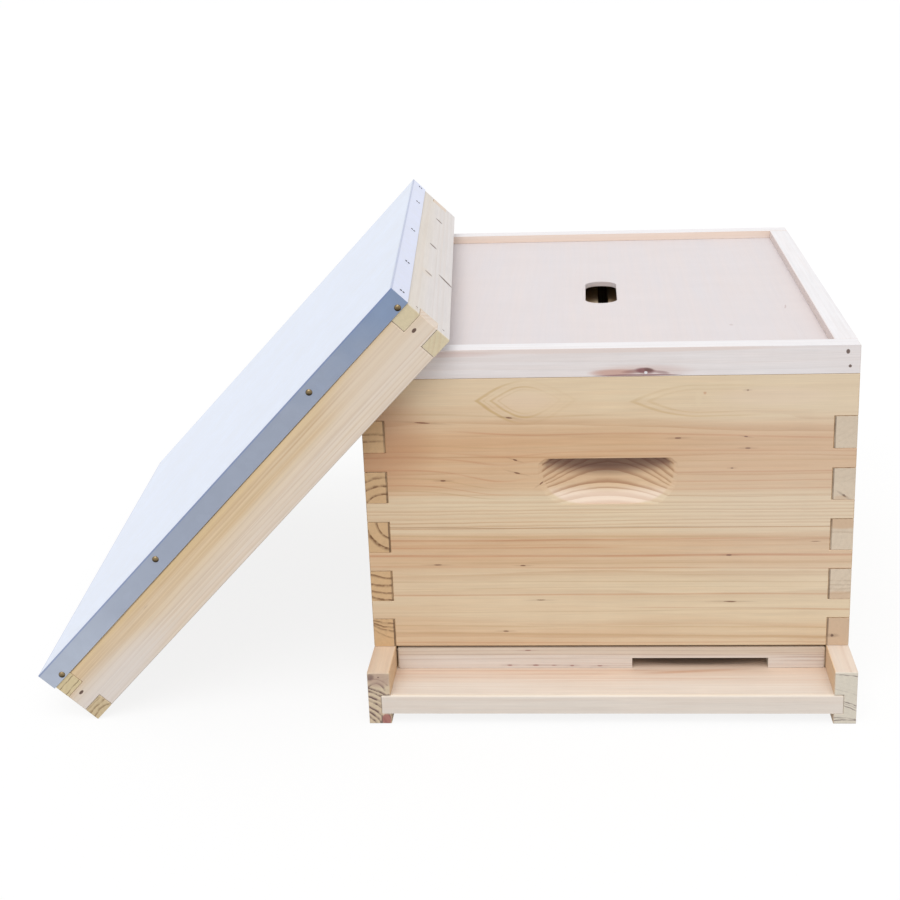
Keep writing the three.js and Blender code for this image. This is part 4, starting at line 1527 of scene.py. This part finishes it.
class HIVE_OT_outer_cover(bpy.types.Operator):
    """Give the outer cover its pine and its galvanised sheet"""

    bl_idname = "hive.outer_cover"
    bl_label = "Outer Cover"

    def execute(self, context):
        woods = context.scene.hive_woods
        axes = cover_axes()
        pine = Look(
            woods.cover_early,
            woods.cover_late,
            woods.cover_blush,
            woods.cover_pink,
            woods.cover_late,
            zones=((0.0, 0.05), (0.36, 0.12), (0.66, 0.7), (0.8, 0.7), (1.0, 1.0)),
            contrast=0.3,
            faintest=0.05,
            end_contrast=0.3,
            sway=6.0,
            streaks=0.55,
        )
        self.long_rims(woods, pine, *axes)
        self.lower_rim(woods, pine, *axes)
        self.upper_rim(woods, pine, *axes)
        self.deck(pine, *axes)
        sheet = vertices("cover_metal_sheet")
        zinc = galvanised(context.scene.hive_cover, sheet, *axes)
        dress(zinc, "galvanised_sheet", "cover_metal_sheet")
        return {"FINISHED"}

    def long_rims(self, woods, pine, up, side, out):
        """The two rims that run up the slope: yellow under the sheet and pinkish below, with a painted
        shadow line under the sheet's edge.
        """
        lines = (
            # Painted shadow of the sheet's edge, along the top of the rim
            Line(45.2, 0.6, 0.5, woods.split, 0, 0.0, 0.8),
            Line(40, 1.4, 0.4, woods.cover_late, 1.5),
            Line(35.5, 1.2, 0.35, woods.cover_late, -1),
            Line(31, 1.6, 0.3, woods.cover_late, 2),
            Line(24, 0.9, 0.25, woods.cover_late, 1.5),
            Line(15, 0.8, 0.2, woods.cover_late, -1.5),
            Line(7, 0.8, 0.25, woods.cover_late, 1),
        )
        spots = (
            Mark(425, 30, 100, 22, woods.cover_early, 0.55, core=0.0),
            Mark(20, 12, 110, 26, woods.upper_early, 0.5, core=0.0),
            Mark(448.3, 27.1, 2.6, 1.6, woods.split, 0.95, core=0.6),
            Mark(11.2, 26.8, 2.8, 1.4, woods.split, 0.95, core=0.6),
        )
        look = dataclasses.replace(pine, lines=lines)
        for part, facing, plank, marks in (
            ("front", -side, Plank(0, 41, 110, 40, 4.4), spots),
            ("back", side, Plank(0, 42, -60, 40, 4.0), ()),
        ):
            rim = "cover_" + part + "_rim"
            timber(rim, (up, out, facing), "cover_pine", rim + "_pine", look, [plank], marks=marks)

    def lower_rim(self, woods, pine, up, side, out):
        """The rim that stands on the floor, with dark rings in its end grain."""
        arcs = (
            Arc(5.5, -73.6, 82, 0.8, 0.8, -1, 16),
            Arc(7.5, -17.3, 21.7, 0.8, 0.8, -1, 16),
            Arc(5, -138, 150, 0.7, 0.35, -1, 16),
            Arc(5, -358, 400, 0.45, 0.7, 30, 47),
            Arc(12, -364.8, 400, 0.45, 0.7, 30, 47),
        )
        # Painted shade in the lower rim's end grain, near the floor
        shade = Mark(10, 6, 22, 12, woods.cover_end_painted_shade, 0.35, core=0.3, end=True)
        look = dataclasses.replace(
            pine, end=woods.cover_end, end_late=woods.cover_end_late, end_contrast=0.15, arcs=arcs
        )
        rim, planks = "cover_lower_rim", [Plank(0, 43, -6, 30, 3.4)]
        timber(rim, (side, out, -up), "cover_pine", rim + "_pine", look, planks, marks=[shade])

    def upper_rim(self, woods, pine, up, side, out):
        """The rim in the air: whitish, with splits across its grain beside the nails."""
        splits = (
            Mark(451.8, 22.0, 3.2, 5.4, woods.split, 0.95, -16, core=0.5),
            Mark(299.6, 26.3, 3.2, 5.2, woods.split, 0.95, -12, core=0.5),
            Mark(167.5, 28.4, 3.4, 4.9, woods.split, 0.95, -14, core=0.5),
            Mark(194.3, 8.1, 3.2, 10.5, woods.split, 0.95, -24, core=0.5),
            Mark(14.7, 36.2, 1.6, 1.4, woods.split, 0.8, core=0.5),
            Mark(13.9, 7.4, 1.6, 1.4, woods.split, 0.8, core=0.5),
            Mark(165, 31, 16, 9, woods.cover_early, 0.4, core=0.0),
        )
        look = dataclasses.replace(
            pine,
            early=woods.upper_early,
            blush=woods.upper_blush,
            end=woods.cover_end,
            zones=((0.0, 0.1), (0.55, 0.2), (0.8, 0.7), (1.0, 0.8)),
            contrast=0.15,
            streaks=0.5,
        )
        rim, planks = "cover_upper_rim", [Plank(0, 44, 90, 60, 5.0)]
        timber(rim, (side, out, up), "cover_pine", rim + "_pine", look, planks, marks=splits)

    def deck(self, pine, up, side, out):
        """Four planks under the metal."""
        look = dataclasses.replace(pine, zones=((0.0, 0.4), (1.0, 0.5)))
        planks = (
            Plank(0, 45, 60, 90, 4.6),
            Plank(115, 46, 170, 60, 4.0, 0.97),
            Plank(236, 47, 260, 80, 5.0, 1.02),
            Plank(350, 48, 420, 70, 4.2, 0.98),
        )
        timber("cover_deck", (side, up, out), "cover_pine", "deck_pine", look, planks)


# Profiles of the nails' heads: radii and heights over the face in millimetres. The dome's radii
# are shares of its own radius. The first points lie in the face.
DOME_SHARES = ((0.0, -0.4), (1.0, -0.4), (1.0, 0.0), (0.92, 0.45), (0.7, 0.95), (0.4, 1.3), (0.0, 1.42))
SMALL_HEAD = ((0.0, -0.3), (1.2, -0.3), (1.2, 0.0), (0.95, 0.35), (0.5, 0.5), (0.0, 0.55))
FRAME_HEAD = ((0.0, -0.3), (1.1, -0.3), (1.1, 0.1), (0.9, 0.25), (0.0, 0.3))
SMALL_SIDES = 10


class HIVE_OT_cover_nails(bpy.types.Operator):
    """Make the nails that hold the metal sheet: domed heads on the long sides, and pairs of
    small heads on the short ones"""

    bl_idname = "hive.cover_nails"
    bl_label = "Cover Nails"

    def execute(self, context):
        metals = context.scene.hive_cover
        up, side, out = cover_axes()
        sheet = vertices("cover_metal_sheet")
        low = np.array([(sheet @ axis).min() for axis in (up, side, out)])
        high = np.array([(sheet @ axis).max() for axis in (up, side, out)])
        wide, long, tall = high - low
        radius = metals.dome_radius / MM
        dome = [(radius * share, height) for share, height in DOME_SHARES]
        # Places of the nails as shares of a side's length, the domes' with one of its height
        dome_shares = ((0.032, 0.2), (0.331, 0.615), (0.761, 0.565), (0.981, 0.18))
        pair_shares = (0.036, 0.243, 0.514, 0.801, 0.975)
        pair_level_share, pair_half = 0.395, 1.4 * MM
        domes, heads = [], []
        for face, facing in ((low[1], -side), (high[1], side)):
            for share, level_share in dome_shares:
                spot = up * (low[0] + wide * share) + side * face + out * (low[2] + tall * level_share)
                domes.append(turned(dome, spot, facing))
        for face, facing in ((low[0], -up), (high[0], up)):
            for share in pair_shares:
                for away in (-pair_half, pair_half):
                    level = low[2] + tall * pair_level_share + away
                    spot = up * face + side * (low[1] + long * share) + out * level
                    heads.append(turned(SMALL_HEAD, spot, facing, SMALL_SIDES))
        # The domes' undersides get strong painted shade
        brass = bare_metal("brass", metals.brass, 0.3, under=0.12)
        steel = bare_metal("nail_steel", metals.steel, 0.45)
        new_piece("cover_domed_nails", domes, brass, "outer_cover")
        new_piece("cover_small_nails", heads, steel, "outer_cover")
        return {"FINISHED"}


class FrameLook(bpy.types.PropertyGroup):
    wax: colour("Wax", "Colour of the foundation", 0xD9A441)
    bloom: colour("Bloom", "Pale clouds on the foundation", 0xE8C67A)
    wire: colour("Wire", "Colour of the wires and nails", 0x9C9C9E)
    cell: length("Cell", "Width of a cell", 5.3 * MM)
    relief: length("Relief", "Height of the pressed pattern", 0.45 * MM)
    sheet: length("Sheet", "Thickness of the foundation", 0.5 * MM)
    wire_radius: length("Wire Radius", "Radius of the wires", 0.25 * MM)


class HIVE_OT_frames(bpy.types.Operator):
    """Give the ten frames their wood"""

    bl_idname = "hive.frames"
    bl_label = "Frames"

    def execute(self, context):
        woods = context.scene.hive_woods
        early, late, blush = woods.frame_early, woods.frame_late, woods.pale_early
        fir = Look(early, late, blush, woods.cover_end, late, contrast=0.7)
        names = sorted(name for name in frame["nodes"] if name.startswith("frame_"))
        bars = [name for name in names if "end_bar" not in name]
        ends = [name for name in names if "end_bar" in name]
        bar = Board(bars[0], AXIS_Y, AXIS_X, AXIS_Z)
        dress(wood("bar_fir", bar, fir, self.planks(51)), "frame_wood", *bars)
        end = Board(ends[0], AXIS_Z, AXIS_X, AXIS_Y)
        dress(wood("end_bar_fir", end, fir, self.planks(71)), "frame_wood", *ends)
        return {"FINISHED"}

    def planks(self, seed):
        """A plank for each frame, a frame's pitch wide, so that no two frames look alike."""
        bodies = frame_bodies()
        first = corners(bodies[0] + "_top_bar")[0][0] / MM
        last = corners(bodies[-1] + "_top_bar")[0][0] / MM
        pitch = (last - first) / (len(bodies) - 1)
        before, pith_aside, ring = 4, 14, 3.6
        pith_swing, depth, depth_swing, light_swing = 40, 40, 12, 0.04
        planks = []
        for index in range(len(bodies)):
            start = index * pitch - before
            pith = start + pith_aside + pith_swing * math.sin(2.1 * index)
            pith_depth = depth + depth_swing * math.sin(index)
            light = 1 + light_swing * math.sin(1.7 * index + seed)
            planks.append(Plank(start, seed + index, pith, pith_depth, ring, light))
        return planks


def pressed_sheet(low, high, looks):
    """A sheet pressed with cells on both sides, as a grid of two parameters. Its points make
    triangles whose side is a cell's side. Their heights go round by three, from a cell's
    middle to its corners, so that every three rhombs are the bottom of a cell on one side and
    lie between the bottoms on the other. Both faces have the same heights, a thickness apart."""
    step = looks.cell / math.sqrt(3)
    wide, tall = high[1] - low[1], high[2] - low[2]
    columns = int(round(wide / step)) + 1
    rows = int(round(tall / (step * math.sqrt(3) / 2))) + 1
    row, column = np.mgrid[0:rows, 0:columns]
    along = np.clip((column + (row % 2) * 0.5) / (columns - 1), 0, 1) * wide
    above = row / (rows - 1) * tall
    height = ((column - row // 2 - row) % 3 - 1) * looks.relief / 2
    middle = (low[0] + high[0]) / 2
    faces = []
    for half in (-0.5, 0.5):
        aside = middle + height + half * looks.sheet
        faces.append(np.stack((aside, low[1] + along, low[2] + above), -1).reshape(-1, 3))
    points = np.vstack(faces)
    at = np.arange(rows * columns).reshape(rows, columns)
    a, b, c, d = at[:-1, :-1], at[:-1, 1:], at[1:, 1:], at[1:, :-1]
    even = (row[:-1, :-1] % 2 == 0)[..., None]
    lower = np.where(even, np.stack((a, b, d), -1), np.stack((a, b, c), -1)).reshape(-1, 3)
    upper = np.where(even, np.stack((b, c, d), -1), np.stack((a, c, d), -1)).reshape(-1, 3)
    front = np.vstack((lower, upper))
    back = front[:, ::-1]
    rim = np.concatenate((at[0, :-1], at[:-1, -1], at[-1, :0:-1], at[:0:-1, 0]))
    after = np.roll(rim, -1)
    size = rows * columns
    near = np.stack((rim, after, after + size), -1)
    edge = np.vstack((near, np.stack((rim, after + size, rim + size), -1)))
    return points, np.vstack((back, front + size, edge))


class HIVE_OT_foundation(bpy.types.Operator):
    """Make the pressed wax sheet of each frame"""

    bl_idname = "hive.foundation"
    bl_label = "Foundation"

    def execute(self, context):
        looks = context.scene.hive_frames
        wax = beeswax(looks)
        # Between the sheet and the end bars, and how deep it sits in the other bars' grooves
        gap, groove = 0.4 * MM, 3.4 * MM
        for body in frame_bodies():
            front = corners(body + "_front_end_bar")
            back = corners(body + "_back_end_bar")
            top = corners(body + "_top_bar")
            foot = corners(body + "_bottom_bar")
            low = np.array((top[0][0], front[1][1] + gap, foot[1][2] - groove))
            high = np.array((top[1][0], back[0][1] - gap, top[0][2] + groove))
            new_piece(body + "_foundation", [pressed_sheet(low, high, looks)], wax, body, smooth=False)
        return {"FINISHED"}


def frame_bodies():
    """The names of the frames' bodies, in order."""
    return sorted(name for name in frame["bodies"] if name.startswith("frame_"))


def wire_levels(end_bar):
    """The levels of the wire holes in an end bar. The vertices near the bar's middle, without
    those by its ends, lie at the foot and the top of each hole."""
    near = 0.2 * MM
    margin = 12
    places = vertices(end_bar)
    middle = (places[:, 0].min() + places[:, 0].max()) / 2
    inner = np.abs(places[:, 0] - middle) < near
    levels = np.unique(np.round(places[inner, 2] / MM, 1))
    levels = levels[(levels > levels.min() + margin) & (levels < levels.max() - margin)]
    return [pair.mean() * MM for pair in levels.reshape(-1, 2)]


class HIVE_OT_frame_wires(bpy.types.Operator):
    """Make the wires and the nails of each frame"""

    bl_idname = "hive.frame_wires"
    bl_label = "Frame Wires"

    def execute(self, context):
        looks = context.scene.hive_frames
        steel = bare_metal("wire_steel", looks.wire, 0.35)
        radius = looks.wire_radius
        clear = radius + 0.15 * MM
        bend, nail_aside = 1.4 * MM, 4 * MM
        for body in frame_bodies():
            front_low, front_high = corners(body + "_front_end_bar")
            back_low, back_high = corners(body + "_back_end_bar")
            middle = (front_low[0] + front_high[0]) / 2
            levels = wire_levels(body + "_front_end_bar")
            proud = looks.sheet / 2 + looks.relief / 2
            start = front_low[1] - clear
            finish = back_high[1] + clear
            route = []
            for index, level in enumerate(levels):
                ends = (start, finish) if index % 2 == 0 else (finish, start)
                route += [(middle + proud, ends[0], level), (middle + proud, ends[1], level)]
            parts = [tube(bent(np.array(route), bend), radius)]
            top = corners(body + "_top_bar")[1][2]
            for low, high in ((front_low, front_high), (back_low, back_high)):
                for aside in (-nail_aside, nail_aside):
                    place = np.array((middle + aside, (low[1] + high[1]) / 2, top))
                    parts.append(turned(FRAME_HEAD, place, AXIS_Z, SMALL_SIDES))
            new_piece(body + "_wires", parts, steel, body)
        return {"FINISHED"}


def bent(route, radius, steps=5):
    """A route with its corners rounded. A corner becomes the curve entry * (1 - t)^2 +
    corner * 2 t * (1 - t) + leave * t^2, where entry lies a radius before the corner and leave
    a radius after it, and t runs from 0 to 1."""
    share = np.linspace(0, 1, steps)[:, None]
    points = [route[:1]]
    for before, corner, after in zip(route, route[1:], route[2:]):
        entry = corner + (before - corner) / np.linalg.norm(before - corner) * radius
        leave = corner + (after - corner) / np.linalg.norm(after - corner) * radius
        points.append(entry * (1 - share) ** 2 + corner * 2 * share * (1 - share) + leave * share**2)
    return np.vstack(points + [route[-1:]])


STEPS = (
    HIVE_OT_stage,
    HIVE_OT_brood_box,
    HIVE_OT_bottom_board,
    HIVE_OT_inner_cover,
    HIVE_OT_outer_cover,
    HIVE_OT_cover_nails,
    HIVE_OT_frames,
    HIVE_OT_foundation,
    HIVE_OT_frame_wires,
)
LOOKS = {"hive_stage": StageLook, "hive_woods": WoodLook, "hive_cover": CoverLook, "hive_frames": FrameLook}


class HIVE_PT_hive(bpy.types.Panel):
    """The hive's parts, in the order in which they are made"""

    bl_idname = "HIVE_PT_hive"
    bl_label = "Hive"
    bl_space_type = "VIEW_3D"
    bl_region_type = "UI"
    bl_category = "Hive"

    def draw(self, context):
        for step in STEPS:
            self.layout.operator(step.bl_idname)
        for name, group in LOOKS.items():
            for prop in group.__annotations__:
                self.layout.prop(getattr(context.scene, name), prop)


def register():
    for group in (*LOOKS.values(), *STEPS, HIVE_PT_hive):
        bpy.utils.register_class(group)
    for name, group in LOOKS.items():
        setattr(bpy.types.Scene, name, PointerProperty(type=group))


def unregister():
    for name in LOOKS:
        delattr(bpy.types.Scene, name)
    for group in (HIVE_PT_hive, *reversed(STEPS), *LOOKS.values()):
        bpy.utils.unregister_class(group)


def main():
    register()
    for step in STEPS:
        group, name = step.bl_idname.split(".")
        getattr(getattr(bpy.ops, group), name)()


if __name__ == "__main__":
    main()
